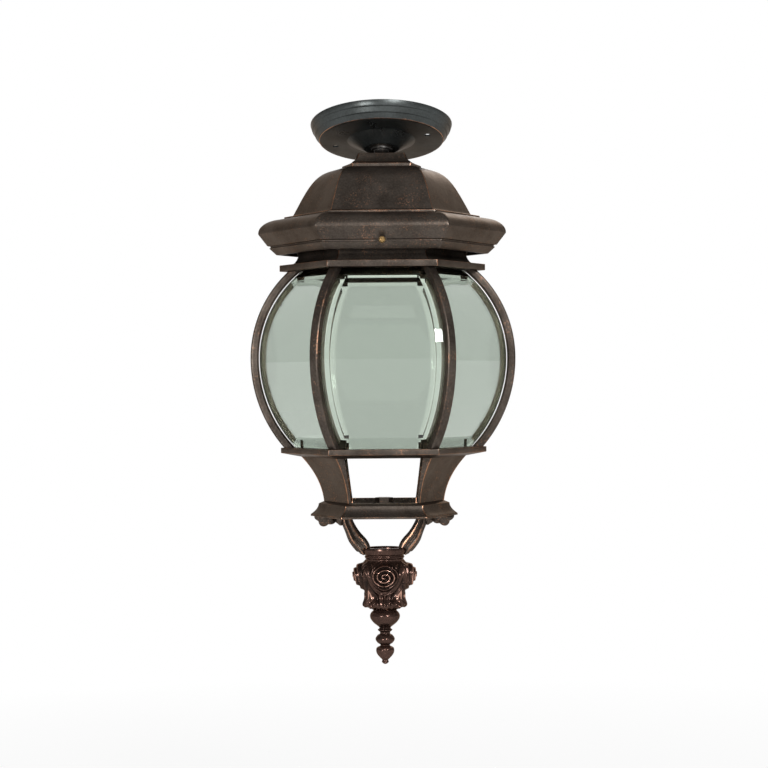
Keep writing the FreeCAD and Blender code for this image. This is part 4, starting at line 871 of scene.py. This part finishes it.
def upper_ring_rows():
    """Closed profile of the ring over the ribs: its neck, hollow moulding and flange."""
    inner = NECK_REACH - NECK_WALL
    start = plan_row(NECK_TOP + 12, inner, 0.0)
    return [
        start,
        plan_row(NECK_TOP, inner, 0.3),
        plan_row(NECK_TOP, NECK_REACH, 0.4),
        plan_row(110.1, NECK_REACH, 0.0),
        plan_row(113.0, NECK_REACH + 1.3, 0.0),
        plan_row(115.6, NECK_REACH + 3.2, 0.0),
        plan_row(117.3, NECK_REACH + 5.5, 0.5),
        plan_row(118.1, FLANGE_REACH, 0.9, RING_SPARE),
        plan_row(RIB_TOP, FLANGE_REACH, 0.7, RING_SPARE),
        plan_row(RIB_TOP, inner, 0.1),
        start,
    ]


def lower_ring_rows():
    """Closed profile of the ring under the ribs, whose underside slopes in to the basket."""
    inner = FLANGE_REACH - 26
    start = plan_row(RIB_FOOT + 2, inner, 0.0, BASKET_SPARE)
    return [
        start,
        plan_row(RIB_FOOT, inner, 0.2, BASKET_SPARE),
        plan_row(RIB_FOOT, FLANGE_REACH, 0.8, RING_SPARE),
        plan_row(BASKET_TOP - 3.8, FLANGE_REACH, 0.9, RING_SPARE),
        plan_row(BASKET_TOP, BASKET_TOP_REACH, 0.4, BASKET_SPARE),
        plan_row(BASKET_TOP, inner, 0.1, BASKET_SPARE),
        start,
    ]


class LANTERN_OT_cage_rings(bpy.types.Operator):
    """The ring over the ribs with its neck and moulding, and the ring under them"""

    bl_idname = "lantern.cage_rings"
    bl_label = "Cage rings"

    def execute(self, context):
        for name, node, rows in (("ring_over_ribs", "cage_top_ring", upper_ring_rows()),
                                 ("ring_under_ribs", "bottom_flange", lower_ring_rows())):
            points, wear_and_painted_light = six_sided(softened(rows, softness()), 0.8)
            make_hung(name, points, wear_and_painted_light, "bronze", "cage", node, closed=True)
        dress("bronze", "glass_stop_ring", "ring_lugs", "bottom_clips")
        # the retainers' pale finish is partly their own tan and partly painted light against the shade
        # behind the ribs
        dress("pale_bronze_and_painted_light", *(f"glass_retainer_{number + 1}" for number in range(RIB_COUNT)))
        return {"FINISHED"}


def rib_section(rounding):
    """Closed section of a rib as (inset, sideways, wear): rounded outer corners, and on the inside a thin
    fin that stands in the gap between two panes."""
    half = RIB_WIDTH / 2
    crown = half * 0.55
    mirror = np.array([1, -1, 1])
    turn = np.linspace(0, math.pi / 2, 6)
    inset = rounding * (1 - np.cos(turn))
    side = half - rounding * (1 - np.sin(turn))
    right = np.stack([inset, side, 0.2 + 0.4 * np.sin(2 * turn)], axis=-1)[::-1]
    outside = np.array([[0.0, crown, 0.3], [0.0, 0.0, 0.4], [0.0, -crown, 0.3]])
    left = right[::-1] * mirror
    chamfer = 0.4
    fin = GLASS_GAP - GLASS_CLEARANCE
    fin_foot = RIB_DEPTH + GLASS_CLEARANCE * 4
    far = np.array([
        [RIB_DEPTH * 0.5, -half, 0.0],
        [RIB_DEPTH - chamfer, -half, 0.3],
        [RIB_DEPTH, -half + chamfer, 0.3],
        [RIB_DEPTH, -fin, 0.0],
        [fin_foot, -fin, 0.0]])
    near = far[::-1] * mirror
    return np.concatenate([right, outside, left, far, near])


class LANTERN_OT_ribs(bpy.types.Operator):
    """Six bowed ribs with rounded outer edges"""

    bl_idname = "lantern.ribs"
    bl_label = "Ribs"

    def execute(self, context):
        inset, side, wear_and_painted_light = rib_section(context.scene.lantern_sizes.rib_rounding / MM).T
        above = np.linspace(RIB_TOP, BELLY_DROP, 26)
        below = np.linspace(BELLY_DROP, RIB_FOOT, 26)[1:]
        drop = np.concatenate([above, below])[:, None]
        reach = rib_curve(drop, inset)
        points = np.stack(np.broadcast_arrays(reach, side, drop), axis=-1)
        grid, wear_and_painted_light = capped(points, np.broadcast_to(wear_and_painted_light, reach.shape))
        for number in range(RIB_COUNT):
            placed = turn_about_axis(grid, 60 * number)
            make_hung(f"bowed_rib_{number + 1}", placed, wear_and_painted_light, "bronze", "cage", f"rib_{number + 1}")
        return {"FINISHED"}


def pane_faces(drop):
    """Distance from the axis of a pane's outer and inner face at a drop: each is two upright arcs that
    meet at the belly, the inner one the glass's thickness behind along its slope."""
    seat = RIB_DEPTH + GLASS_CLEARANCE
    belly = (BELLY_REACH - seat) * SQUARE
    bends = []
    for end in (GLASS_TOP, GLASS_FOOT):
        move = belly - float(rib_curve(end, seat)) * SQUARE
        rise = end - BELLY_DROP
        bends.append((move * move + rise * rise) / (2 * move))
    bend = np.where(drop < BELLY_DROP, *bends)
    level = np.sqrt(bend ** 2 - (drop - BELLY_DROP) ** 2)
    outer = belly - bend + level
    inner = outer - GLASS_THICKNESS * bend / level
    return outer, inner


# places of a ground margin's rows, as shares of its width, with two close together where its bevel ends
MARGIN_SHARES = np.array([0.0, 0.5, 0.92, 1.0, 1.08])


def pane_grid(width, depth):
    """The front pane as a closed plate, ground along its margin by the depth at its edge. Its wear is 1
    where the margin is clear and 0 where the glass has its tint, as along the foot."""
    drop = np.concatenate([
        GLASS_TOP + MARGIN_SHARES * width,
        np.linspace(GLASS_TOP + width * 1.3, GLASS_FOOT - width * 1.3, 44),
        (GLASS_FOOT - MARGIN_SHARES * width)[::-1]])[:, None]
    outer, inner = pane_faces(drop)
    corner = math.tan(math.radians(30))
    edge = outer * corner - GLASS_GAP / SQUARE
    inner_edge = inner * corner - GLASS_GAP / SQUARE
    from_edge = edge - np.concatenate([MARGIN_SHARES, np.linspace(1.5, 6, 5)]) * width
    across = np.clip(np.concatenate([-from_edge, from_edge], axis=1), -edge, edge)
    across = np.sort(across, axis=1)
    from_side = edge - np.abs(across)
    from_top = drop - GLASS_TOP
    from_end = np.minimum(from_top, GLASS_FOOT - drop)
    ground = depth * np.clip(1 - np.minimum(from_side, from_end) / width, 0, 1)
    clear = ramp(-np.minimum(from_side, from_top) / width, -1.04, 0.08)
    clear = clear * np.clip(from_side / 2.5, 0.3, 1)
    front = np.stack(np.broadcast_arrays(across, ground - outer, drop), axis=-1)
    back = np.stack(np.broadcast_arrays(across * inner_edge / edge, -inner, drop), axis=-1)
    return slab(front, back, clear)


class LANTERN_OT_panes(bpy.types.Operator):
    """Six bent panes with ground margins"""

    bl_idname = "lantern.panes"
    bl_label = "Panes"

    def execute(self, context):
        sizes = context.scene.lantern_sizes
        grid, wear_and_painted_light = pane_grid(sizes.bevel_width / MM, sizes.bevel_depth / MM)
        for number in range(RIB_COUNT):
            placed = turn_about_axis(grid, 60 * number)
            make_hung(f"bent_pane_{number + 1}", placed, wear_and_painted_light, "bevelled_glass", "cage",
                      f"glass_pane_{number + 1}", sharp=4.0)
        return {"FINISHED"}


# ---------------------------------------------------------------- basket and plate

def basket_rows(inset, count):
    """Level hexagons of the basket's hollow curve, a quadratic drawn by three (reach, drop) points."""
    share = np.linspace(0, 1, count)
    weights = np.stack([(1 - share) ** 2, 2 * (1 - share) * share, share ** 2], axis=-1)
    pulls = np.array([
        (BASKET_TOP_REACH, BASKET_TOP),
        (BASKET_TOP_REACH - 19.5, BASKET_TOP + 20.9),
        (BASKET_FOOT_REACH, PLATE_TOP)])
    reach, drop = (weights @ pulls).T
    reach = reach - inset
    return drop, reach, reach / 2 + BASKET_SPARE, reach * SQUARE


# places of a cheek's columns: its whole numbers are the window's front edge, the front, side and back
# corners, and the window's back edge
CHEEK_MARKS = np.array([
    0.0, 0.12, 0.5, 0.88, 0.97, 1.0, 1.02, 1.06, 1.5, 1.94, 1.98, 2.0, 2.02, 2.06, 2.5, 2.94, 2.98, 3.0,
    3.03, 3.12, 3.5, 3.88, 4.0])


def cheek_face(inset, count, side):
    """One face of a basket cheek, from the window's front edge round its corners to the window's back
    edge. Returns points and their wear, which is most at the corners."""
    drop, reach, half, flat = basket_rows(inset, count)
    share = (drop - drop[0]) / (drop[-1] - drop[0])
    window = 38.3 * (1 - share) + 32.4 * share
    stops = np.stack([
        np.stack([window, half, reach, half, window], axis=1) * side,
        np.stack([-flat, -flat, np.zeros_like(drop), flat, flat], axis=1)], axis=-1)
    span = np.minimum(CHEEK_MARKS.astype(int), 3)
    part = (CHEEK_MARKS - span)[:, None]
    path = stops[:, span] * (1 - part) + stops[:, span + 1] * part
    fade = np.where((CHEEK_MARKS < 1) | (CHEEK_MARKS > 3), 0.14, 0.05)
    height = np.where((CHEEK_MARKS > 0.5) & (CHEEK_MARKS < 3.5), 1.0, 0.7)
    wear_and_painted_light = height * np.exp(-np.abs(CHEEK_MARKS - np.round(CHEEK_MARKS)) / fade)
    level = np.broadcast_to(drop[:, None], path.shape[:2])
    points = np.concatenate([path, level[..., None]], axis=-1)
    return points, np.broadcast_to(wear_and_painted_light, points.shape[:2])


class LANTERN_OT_basket(bpy.types.Operator):
    """Two cheeks of the open basket, with mitred corners and narrow front and back strips"""

    bl_idname = "lantern.basket"
    bl_label = "Basket"

    def execute(self, context):
        for name, side in (("basket_side_right", 1), ("basket_side_left", -1)):
            outer, wear_and_painted_light = cheek_face(0.0, 18, side)
            inner = cheek_face(BASKET_WALL, 18, side)[0]
            grid, wear_and_painted_light = slab(outer, inner, wear_and_painted_light)
            make_hung(f"{name}_cast", grid, wear_and_painted_light, "bronze", "cage", name, sharp=25.0)
        return {"FINISHED"}


def plate_rows():
    """Profile of the plate, from the middle of its tray over the rim and down its cove to the middle of
    its underside."""
    spare = BASKET_SPARE
    tray = PLATE_TOP + 8.0
    tray_reach = BASKET_FOOT_REACH - 3.5
    cove_width = 8.05
    cove_reach = PLATE_REACH - cove_width
    cove_top = PLATE_TOP + 2.4
    cove_foot = PLATE_FOOT - 1.9
    cove = [plan_row(cove_top + (cove_foot - cove_top) * share, cove_reach + cove_width * share ** 2,
                     0.0, spare)
            for share in np.linspace(0, 1, 9)[1:-1]]
    return [
        (tray, 0.0, 0.0, 0.0, 0.0),
        # painted light: the tray's inner wall lies in shade from the lamps, and its high wear lightens it
        # with copper
        plan_row(tray, tray_reach, 0.5, spare),
        plan_row(PLATE_TOP, tray_reach, 0.9, spare),
        plan_row(PLATE_TOP, BASKET_FOOT_REACH, 0.4, spare),
        plan_row(cove_top, cove_reach, 0.7, spare),
        *cove,
        plan_row(cove_foot, PLATE_REACH, 0.8, spare),
        plan_row(PLATE_FOOT - 0.1, PLATE_REACH, 0.8, spare),
        plan_row(PLATE_FOOT - 0.1, PLATE_REACH - 4, 0.2, spare),
        plan_row(PLATE_FOOT - 0.2, 40.0, 0.0, spare),
        (PLATE_FOOT - 0.2, 0.0, 0.0, 0.0, 0.0),
    ]


class LANTERN_OT_plate(bpy.types.Operator):
    """Moulded six-sided plate under the basket with its tray, bar and cap nut"""

    bl_idname = "lantern.plate"
    bl_label = "Base plate"

    def execute(self, context):
        points, wear_and_painted_light = six_sided(softened(plate_rows(), softness()), 0.8)
        make_hung("moulded_plate", points, wear_and_painted_light, "bronze", "cage", "base_plate")
        dress("bronze", "arm_bridge", "cap_nut")
        return {"FINISHED"}


# ---------------------------------------------------------------- arms and finial

def arm_grid():
    """A bowed bar with two beads and a groove along it: an oval section carried along a smooth curve
    through (reach, drop, half width) knots, its front and back pinched in along the middle."""
    half_depth = 5.2
    knots = [(37.9, PLATE_FOOT - 0.6, 5.6), (36.9, PLATE_FOOT + 6, 5.8), (33.4, PLATE_FOOT + 14, 6.2),
             (29.2, PLATE_FOOT + 22, 7.4), (24.0, PLATE_FOOT + 28.5, 7.8), (20.8, CUP_TOP + 1.0, 7.0),
             (19.8, CUP_TOP + 4.6, 5.0), (19.2, CUP_TOP + 7.0, 2.2)]
    reach, drop, half_width = through(knots, 48).T[..., None]
    slope = np.stack([np.gradient(reach, axis=0), np.gradient(drop, axis=0)])
    slope /= np.linalg.norm(slope, axis=0)
    angle = ring_angles(48)
    outward = np.sign(np.cos(angle)) * np.abs(np.cos(angle)) ** 0.8
    sideways = np.sign(np.sin(angle)) * np.abs(np.sin(angle)) ** 0.7
    across = half_width * outward
    groove = 1 - 0.34 * hump(outward - 0.05, 0.2)
    points = np.stack(np.broadcast_arrays(
        reach + slope[1] * across, half_depth * sideways * groove, drop - slope[0] * across), axis=-1)
    bead = hump(np.abs(outward) - 0.5, 0.2)
    return capped(points, np.broadcast_to(0.85 * bead * np.abs(sideways), across.shape))


def curl_grid(centre, drop, semi_axes, flutes, lean, top):
    """A leaf curled into a roll: an egg shape whose surface is raised by flutes that lean across it, cut
    level at a drop where it meets the plate."""
    along = np.linspace(0, math.pi, 40)[:, None]
    around = ring_angles(96)
    ridge = np.cos(flutes * around + lean * np.cos(along)) * np.sin(along)
    swell = 1 + 0.12 * ridge
    x = centre + semi_axes[0] * np.sin(along) * np.cos(around) * swell
    y = semi_axes[1] * np.cos(along)
    z = drop + semi_axes[2] * np.sin(along) * np.sin(around) * swell
    points = np.stack(np.broadcast_arrays(x, y, np.maximum(z, top)), axis=-1)
    return points, np.clip(ridge, 0, 1) ** 3 * 0.7


class LANTERN_OT_arms(bpy.types.Operator):
    """Two scroll arms, each with a bowed bar, a large leaf curl and a small one"""

    bl_idname = "lantern.arms"
    bl_label = "Scroll arms"

    def execute(self, context):
        top = PLATE_FOOT - 0.5
        parts = (
            arm_grid(),
            curl_grid(58.4, PLATE_FOOT + 0.6, semi_axes=(10.4, 8.2, 9.4), flutes=5, lean=2.6, top=top),
            curl_grid(44.3, PLATE_FOOT + 3.4, semi_axes=(5.0, 7.2, 6.2), flutes=3, lean=1.5, top=top),
        )
        for name, turn in (("scroll_arm_right", 0), ("scroll_arm_left", 180)):
            patches = [(hung(turn_about_axis(grid, turn)), wear_and_painted_light, False, True) for grid, wear_and_painted_light in parts]
            make_piece(f"{name}_cast", patches, "bronze", "cage", (name,))
        return {"FINISHED"}


def rose(angle, drop, radius, centre_drop):
    """The roses at the four quarters: where each reaches, a spiral wave that dies out at its edge, the
    distance from its centre, and a crescent and a stalk below it."""
    quarter = math.pi / 2
    reach = 15.0
    wave = 4.1
    across = ((angle + quarter / 2) % quarter - quarter / 2) * radius
    along = drop - centre_drop
    away = np.sqrt(across ** 2 + along ** 2)
    inside = 1 / (1 + np.exp((away - reach) / 1.1))
    rings = 0.5 + 0.5 * np.cos(2 * math.pi * away / wave - np.arctan2(along, across))
    crescent = hump(away - 18.6, 1.3) * ramp(along, 2.0, 6.0)
    stalk = hump(across, 1.3) * ramp(along, reach, 3.0) * ramp(-along, -33.0, 5.0)
    return inside, rings * inside, away, np.maximum(crescent, stalk)


def cup_outline():
    """Outside of the cup from its rim to its leaf tips, before it is carved, as (radius, drop)."""
    below_rim = [
        (21.4, 0.6), (21.5, 3.0), (20.6, 6.0), (19.4, 7.6), (20.0, 9.2), (18.9, 11.6), (19.6, 13.6),
        (23.4, 17.0), (25.6, 22.0), (25.8, 27.3), (24.4, 33.5), (21.4, 40.0), (19.0, 46.0),
        (18.8, 50.0), (20.6, 55.0), (21.2, 58.0), (19.6, 60.0)]
    return through(below_rim, 240) + np.array([0.0, CUP_TOP])


def carved_skin(columns, rose_height, leaf_height):
    """The cup's outside with roses at the four quarters, fluted leaves between them and lobed leaf tips
    below. Returns points and their wear, which is below nought in the hollows to paint shade there."""
    angle = ring_angles(columns)
    radius, drop = (np.repeat(part[:, None], columns, axis=1) for part in cup_outline().T)
    below_rim = drop - CUP_TOP
    inside, rings, away, below = rose(angle, drop, 26.0, CUP_TOP + 27.7)
    body = ramp(below_rim, 13.0, 4.0) * ramp(-below_rim, -62.0, 4.0)
    low = ramp(below_rim, 40.0, 8.0)
    lowest = ramp(below_rim, 50.0, 8.0)
    # a dome and spiral rings for each rose
    dome = 5.2 * inside * np.clip(1 - (away / 19.0) ** 2, 0, 1)
    swirl = rose_height * (rings * 2 - 1) * inside
    # slanting flutes on the leaves, mirrored about each leaf's middle
    eight = np.cos(4 * angle + math.pi)
    from_leaf = np.abs(angle % (math.pi / 2) - math.pi / 4)
    flutes = np.cos(17 * from_leaf - 0.30 * below_rim) * (0.6 + 0.4 * eight)
    leaf = body * (1 - inside) * (leaf_height * flutes + 0.9 * eight + 1.3 * below)
    # eight lobes with a vein each at the tips
    vein = hump(from_leaf, 0.045)
    lobes = low * body * (np.cos(8 * angle) - 1.2 * vein + 0.5 * np.cos(24 * angle))
    radius = radius + dome + swirl + leaf + lobes
    drop = drop + 1.3 * lowest * (low * np.cos(8 * angle) - 1)
    ridge = (rings ** 3 * inside * 0.75 + body * (1 - inside) * np.clip(flutes, 0, 1) ** 2 * 0.6
             + low * body * np.clip(np.cos(8 * angle), 0, 1) * 0.5)
    # painted shade: the hollows between the rose rings and in the leaf flutes are darkened through wear
    # below nought
    painted_hollow_shade = body * np.where(inside > 0.5, (1 - rings) ** 2, np.clip(-flutes, 0, 1))
    wear_and_painted_light = np.where(ridge > 0.15, np.clip(ridge, 0, 1), -0.6 * painted_hollow_shade)
    return np.stack([radius * np.cos(angle), radius * np.sin(angle), drop], axis=-1), wear_and_painted_light


class LANTERN_OT_finial_cup(bpy.types.Operator):
    """Open cup with four roses, leaves between them and flared leaf tips below"""

    bl_idname = "lantern.finial_cup"
    bl_label = "Finial cup"

    def execute(self, context):
        sizes = context.scene.lantern_sizes
        columns = 288
        floor = CUP_TOP + 13.9
        rim = [(0.0, floor, 0.0), (14.6, floor, 0.0), (15.6, floor - 1.4, 0.0), (15.9, CUP_TOP + 1.0, 0.2),
               (17.0, CUP_TOP, 0.6), (20.6, CUP_TOP, 0.6), (21.4, CUP_TOP + 0.6, 0.3)]
        foot = [(17.0, CUP_FOOT - 3.2, 0.0), (12.3, CUP_FOOT - 1.0, 0.0), (0.0, CUP_FOOT - 1.0, 0.0)]
        mouth, mouth_wear = turned(softened(rim, softness()), columns)
        skin, skin_wear = carved_skin(columns, sizes.rose_relief / MM, sizes.leaf_relief / MM)
        under, under_wear = turned(foot, columns)
        grid = np.concatenate([mouth[:-1], skin, under])
        wear_and_painted_light = np.concatenate([mouth_wear[:-1], skin_wear, under_wear])
        make_hung("leafed_cup", grid, wear_and_painted_light, "finial_bronze", "cage", "finial_cup", sharp=60.0)
        return {"FINISHED"}


class LANTERN_OT_finial_spindle(bpy.types.Operator):
    """Turned spindle under the cup: vase, collar, bead, fluted bud and tip"""

    bl_idname = "lantern.finial_spindle"
    bl_label = "Finial spindle"

    def execute(self, context):
        below_cup = [
            (12.0, 0.2), (13.6, 1.6), (15.0, 4.6), (14.4, 8.2), (11.6, 12.0), (8.2, 14.8), (5.8, 16.8),
            (6.0, 17.9), (7.3, 19.0), (6.6, 20.3), (5.3, 21.4), (5.3, 23.2), (7.4, 24.4), (9.4, 27.2),
            (9.5, 29.4), (7.6, 32.2), (5.0, 34.0), (5.2, 35.2), (8.4, 37.0), (9.2, 40.0), (8.0, 43.6),
            (5.4, 46.8), (3.1, 49.2), (3.4, 50.6), (3.5, 51.4), (2.0, 53.0),
            (0.0, TIP_FOOT - CUP_FOOT - 0.05)]
        radius, below = through(below_cup, 200).T
        wear_and_painted_light = 0.55 * np.clip(np.gradient(np.gradient(radius)) * -12, 0, 1)
        start = [(0.0, CUP_FOOT - 0.8, 0.0), (11.6, CUP_FOOT - 0.8, 0.0)]
        profile = np.concatenate([start, np.stack([radius, CUP_FOOT + below, wear_and_painted_light], axis=-1)])

        def bud_flutes(angle, drop):
            """Eight flutes on the bud, strongest at its middle."""
            strength = hump(drop - CUP_FOOT - 40.5, 3.6)
            return 0.7 * strength * (np.abs(np.sin(4 * angle)) - 0.6)

        points, wear_and_painted_light = turned(profile, 128, bud_flutes)
        points[-1, :, :2] = 0
        make_hung("turned_spindle", points, wear_and_painted_light, "finial_bronze", "cage", "finial_spindle", sharp=50.0)
        return {"FINISHED"}


def round_heads(places, radius, height):
    """Low domed screw heads: for each (point, outward direction), rings of a flattened half ball."""
    lift = np.linspace(0, math.pi / 2, 6)[:, None, None]
    ring = ring_angles(20)[:, None]
    upright = np.array([0.0, 0.0, 1.0])
    patches = []
    for point, outward in places:
        sideways = np.array([-outward[1], outward[0], 0.0])
        level = radius * np.cos(lift) * (np.cos(ring) * sideways + np.sin(ring) * upright)
        grid = point + level + height * np.sin(lift) * outward
        base = np.broadcast_to(point, grid[:1].shape)
        grid = np.concatenate([base, grid])
        patches.append((hung(grid), np.full(grid.shape[:2], 0.4), False, True))
    return patches


class LANTERN_OT_small_screws(bpy.types.Operator):
    """Round-headed screws on the cage's neck and on the inner strips"""

    bl_idname = "lantern.small_screws"
    bl_label = "Small screws"

    def execute(self, context):
        on_neck = []
        on_strips = []
        for number in range(RIB_COUNT):
            outward = turn_about_axis(np.array([1.0, 0.0, 0.0]), 60 * number)
            on_neck.append((outward * (NECK_REACH - 0.6) + [0, 0, NECK_SCREW_DROP], outward))
            for drop in STRIP_SCREW_DROPS:
                reach = float(rib_curve(drop, STRIP_FACE_INSET)) + 0.2
                on_strips.append((outward * reach + [0, 0, drop], -outward))
        make_piece("neck_screws", round_heads(on_neck, 2.0, 1.3), "bronze", "cage")
        make_piece("strip_screws", round_heads(on_strips, 1.9, 1.1), "zinc_steel", "cage")
        return {"FINISHED"}


# ---------------------------------------------------------------- stage

def add_lamp(name, place, size, power):
    """A soft square lamp at a place, turned to the middle of the lantern."""
    lamp = bpy.data.lights.new(name, "AREA")
    lamp.shape = "SQUARE"
    lamp.size = size
    lamp.energy = power
    holder = bpy.data.objects.new(name, lamp)
    holder.location = place
    middle = Vector((0.0, 0.0, -0.28))
    direction = middle - Vector(place)
    holder.rotation_euler = direction.to_track_quat("-Z", "Y").to_euler()
    bpy.context.scene.collection.objects.link(holder)


def rays_of(tree, *kinds):
    """1 for rays of any of the named kinds, else 0."""
    path = tree.nodes.new("ShaderNodeLightPath")
    share = path.outputs[f"Is {kinds[0]} Ray"]
    for kind in kinds[1:]:
        share = math_node(tree, "MAXIMUM", share, path.outputs[f"Is {kind} Ray"])
    return share


def make_world():
    """Soft white surroundings: plain white to the camera and through glass, white behind the lantern in
    mirrors and dimmer in front, and else a mild light."""
    mild = 0.3
    world = bpy.data.worlds.new("studio")
    world.use_nodes = True
    bpy.context.scene.world = world
    tree = world.node_tree
    background = tree.nodes["Background"]
    background.inputs["Color"].default_value = (1, 1, 1, 1)
    direction = tree.nodes.new("ShaderNodeSeparateXYZ")
    wire(tree, tree.nodes.new("ShaderNodeTexCoord").outputs["Generated"], direction.inputs["Vector"])
    backdrop = stretch(tree, direction.outputs["Y"], 0.3, 0.98, mild, 1.0)
    mirrored = times(tree, rays_of(tree, "Glossy"), backdrop)
    direct = rays_of(tree, "Camera", "Transmission")
    soft = math_node(tree, "MAXIMUM", mirrored, mild)
    wire(tree, math_node(tree, "MAXIMUM", direct, soft), background.inputs["Strength"])


def make_floor():
    """Pale floor under the lowered cage, which keeps a shadow near the lantern and is white to the camera
    further out."""
    half = 30.0
    level = CAD_BOX[0][2] - 0.21
    shade_edge = (0.8, 1.6)
    material, tree, shader = new_material("floor")
    shader.inputs["Base Color"].default_value = (0.86, 0.86, 0.85, 1)
    shader.inputs["Roughness"].default_value = 0.9
    shine = tree.nodes.new("ShaderNodeEmission")
    shine.inputs["Color"].default_value = (1, 1, 1, 1)
    mixer = tree.nodes.new("ShaderNodeMixShader")
    distance = tree.nodes.new("ShaderNodeVectorMath")
    distance.operation = "LENGTH"
    wire(tree, tree.nodes.new("ShaderNodeTexCoord").outputs["Object"], distance.inputs[0])
    fade = stretch(tree, distance.outputs["Value"], *shade_edge, 0.86, 1.0)
    seen = rays_of(tree, "Camera", "Glossy", "Transmission")
    wire(tree, times(tree, seen, fade), mixer.inputs["Fac"])
    wire(tree, shader.outputs["BSDF"], mixer.inputs[1])
    wire(tree, shine.outputs["Emission"], mixer.inputs[2])
    wire(tree, mixer.outputs["Shader"], tree.nodes["Material Output"].inputs["Surface"])
    corners = [(-half, -half, level), (half, -half, level), (half, half, level), (-half, half, level)]
    mesh = bpy.data.meshes.new("floor")
    mesh.from_pydata(corners, [], [(0, 1, 2, 3)])
    mesh.materials.append(material)
    floor = bpy.data.objects.new("floor", mesh)
    bpy.context.scene.collection.objects.link(floor)


def add_camera(distance, drop, roll):
    """Long lens in front of the lantern, level with its middle and a little right of its axis."""
    camera = bpy.data.cameras.new("photo_camera")
    camera.lens = 100.0
    camera.sensor_width = 36.0
    camera.clip_end = 50.0
    holder = bpy.data.objects.new("photo_camera", camera)
    holder.location = (0.0008, PIVOT[1] - distance, -drop)
    holder.rotation_euler = (math.pi / 2, roll, 0.0)
    bpy.context.scene.collection.objects.link(holder)
    bpy.context.scene.camera = holder


class LANTERN_OT_stage(bpy.types.Operator):
    """Camera, lamps, floor and surroundings"""

    bl_idname = "lantern.stage"
    bl_label = "Stage"

    def execute(self, context):
        stage = context.scene.lantern_stage
        level = stage.light_level
        context.scene.view_settings.view_transform = "Standard"
        add_camera(stage.camera_distance, stage.camera_drop, stage.camera_roll)
        add_lamp("key", (0.8, -2.1, 0.6), size=0.5, power=36 * level)
        add_lamp("fill", (-0.95, -2.0, -0.1), size=0.5, power=22 * level)
        add_lamp("back", (0.5, 1.8, 0.9), size=1.0, power=8 * level)
        make_world()
        make_floor()
        return {"FINISHED"}


class LANTERN_PT_panel(bpy.types.Panel):
    """Everything that builds the lantern, in order"""

    bl_label = "Porch lantern"
    bl_idname = "LANTERN_PT_panel"
    bl_space_type = "VIEW_3D"
    bl_region_type = "UI"
    bl_category = "Lantern"

    def draw(self, context):
        scene = context.scene
        for operator in OPERATORS:
            self.layout.operator(operator.bl_idname)
        for group in (scene.lantern_sizes, scene.lantern_colours, scene.lantern_stage):
            box = self.layout.box()
            for name in group.bl_rna.properties.keys():
                if name not in ("rna_type", "name"):
                    box.prop(group, name)


GROUPS = (LanternSizes, LanternColours, LanternStage)
OPERATORS = (
    LANTERN_OT_finishes, LANTERN_OT_canopy, LANTERN_OT_swivel, LANTERN_OT_roof, LANTERN_OT_thumbscrews,
    LANTERN_OT_cage_rings, LANTERN_OT_ribs, LANTERN_OT_panes, LANTERN_OT_basket, LANTERN_OT_plate,
    LANTERN_OT_arms, LANTERN_OT_finial_cup, LANTERN_OT_finial_spindle, LANTERN_OT_small_screws,
    LANTERN_OT_stage,
)


def register():
    for item in (*GROUPS, *OPERATORS, LANTERN_PT_panel):
        bpy.utils.register_class(item)
    bpy.types.Scene.lantern_sizes = bpy.props.PointerProperty(type=LanternSizes)
    bpy.types.Scene.lantern_colours = bpy.props.PointerProperty(type=LanternColours)
    bpy.types.Scene.lantern_stage = bpy.props.PointerProperty(type=LanternStage)


def unregister():
    del bpy.types.Scene.lantern_stage
    del bpy.types.Scene.lantern_colours
    del bpy.types.Scene.lantern_sizes
    for item in reversed((*GROUPS, *OPERATORS, LANTERN_PT_panel)):
        bpy.utils.unregister_class(item)


def main():
    register()
    for operator in OPERATORS:
        family, name = operator.bl_idname.split(".")
        getattr(getattr(bpy.ops, family), name)()


if __name__ == "__main__":
    main()
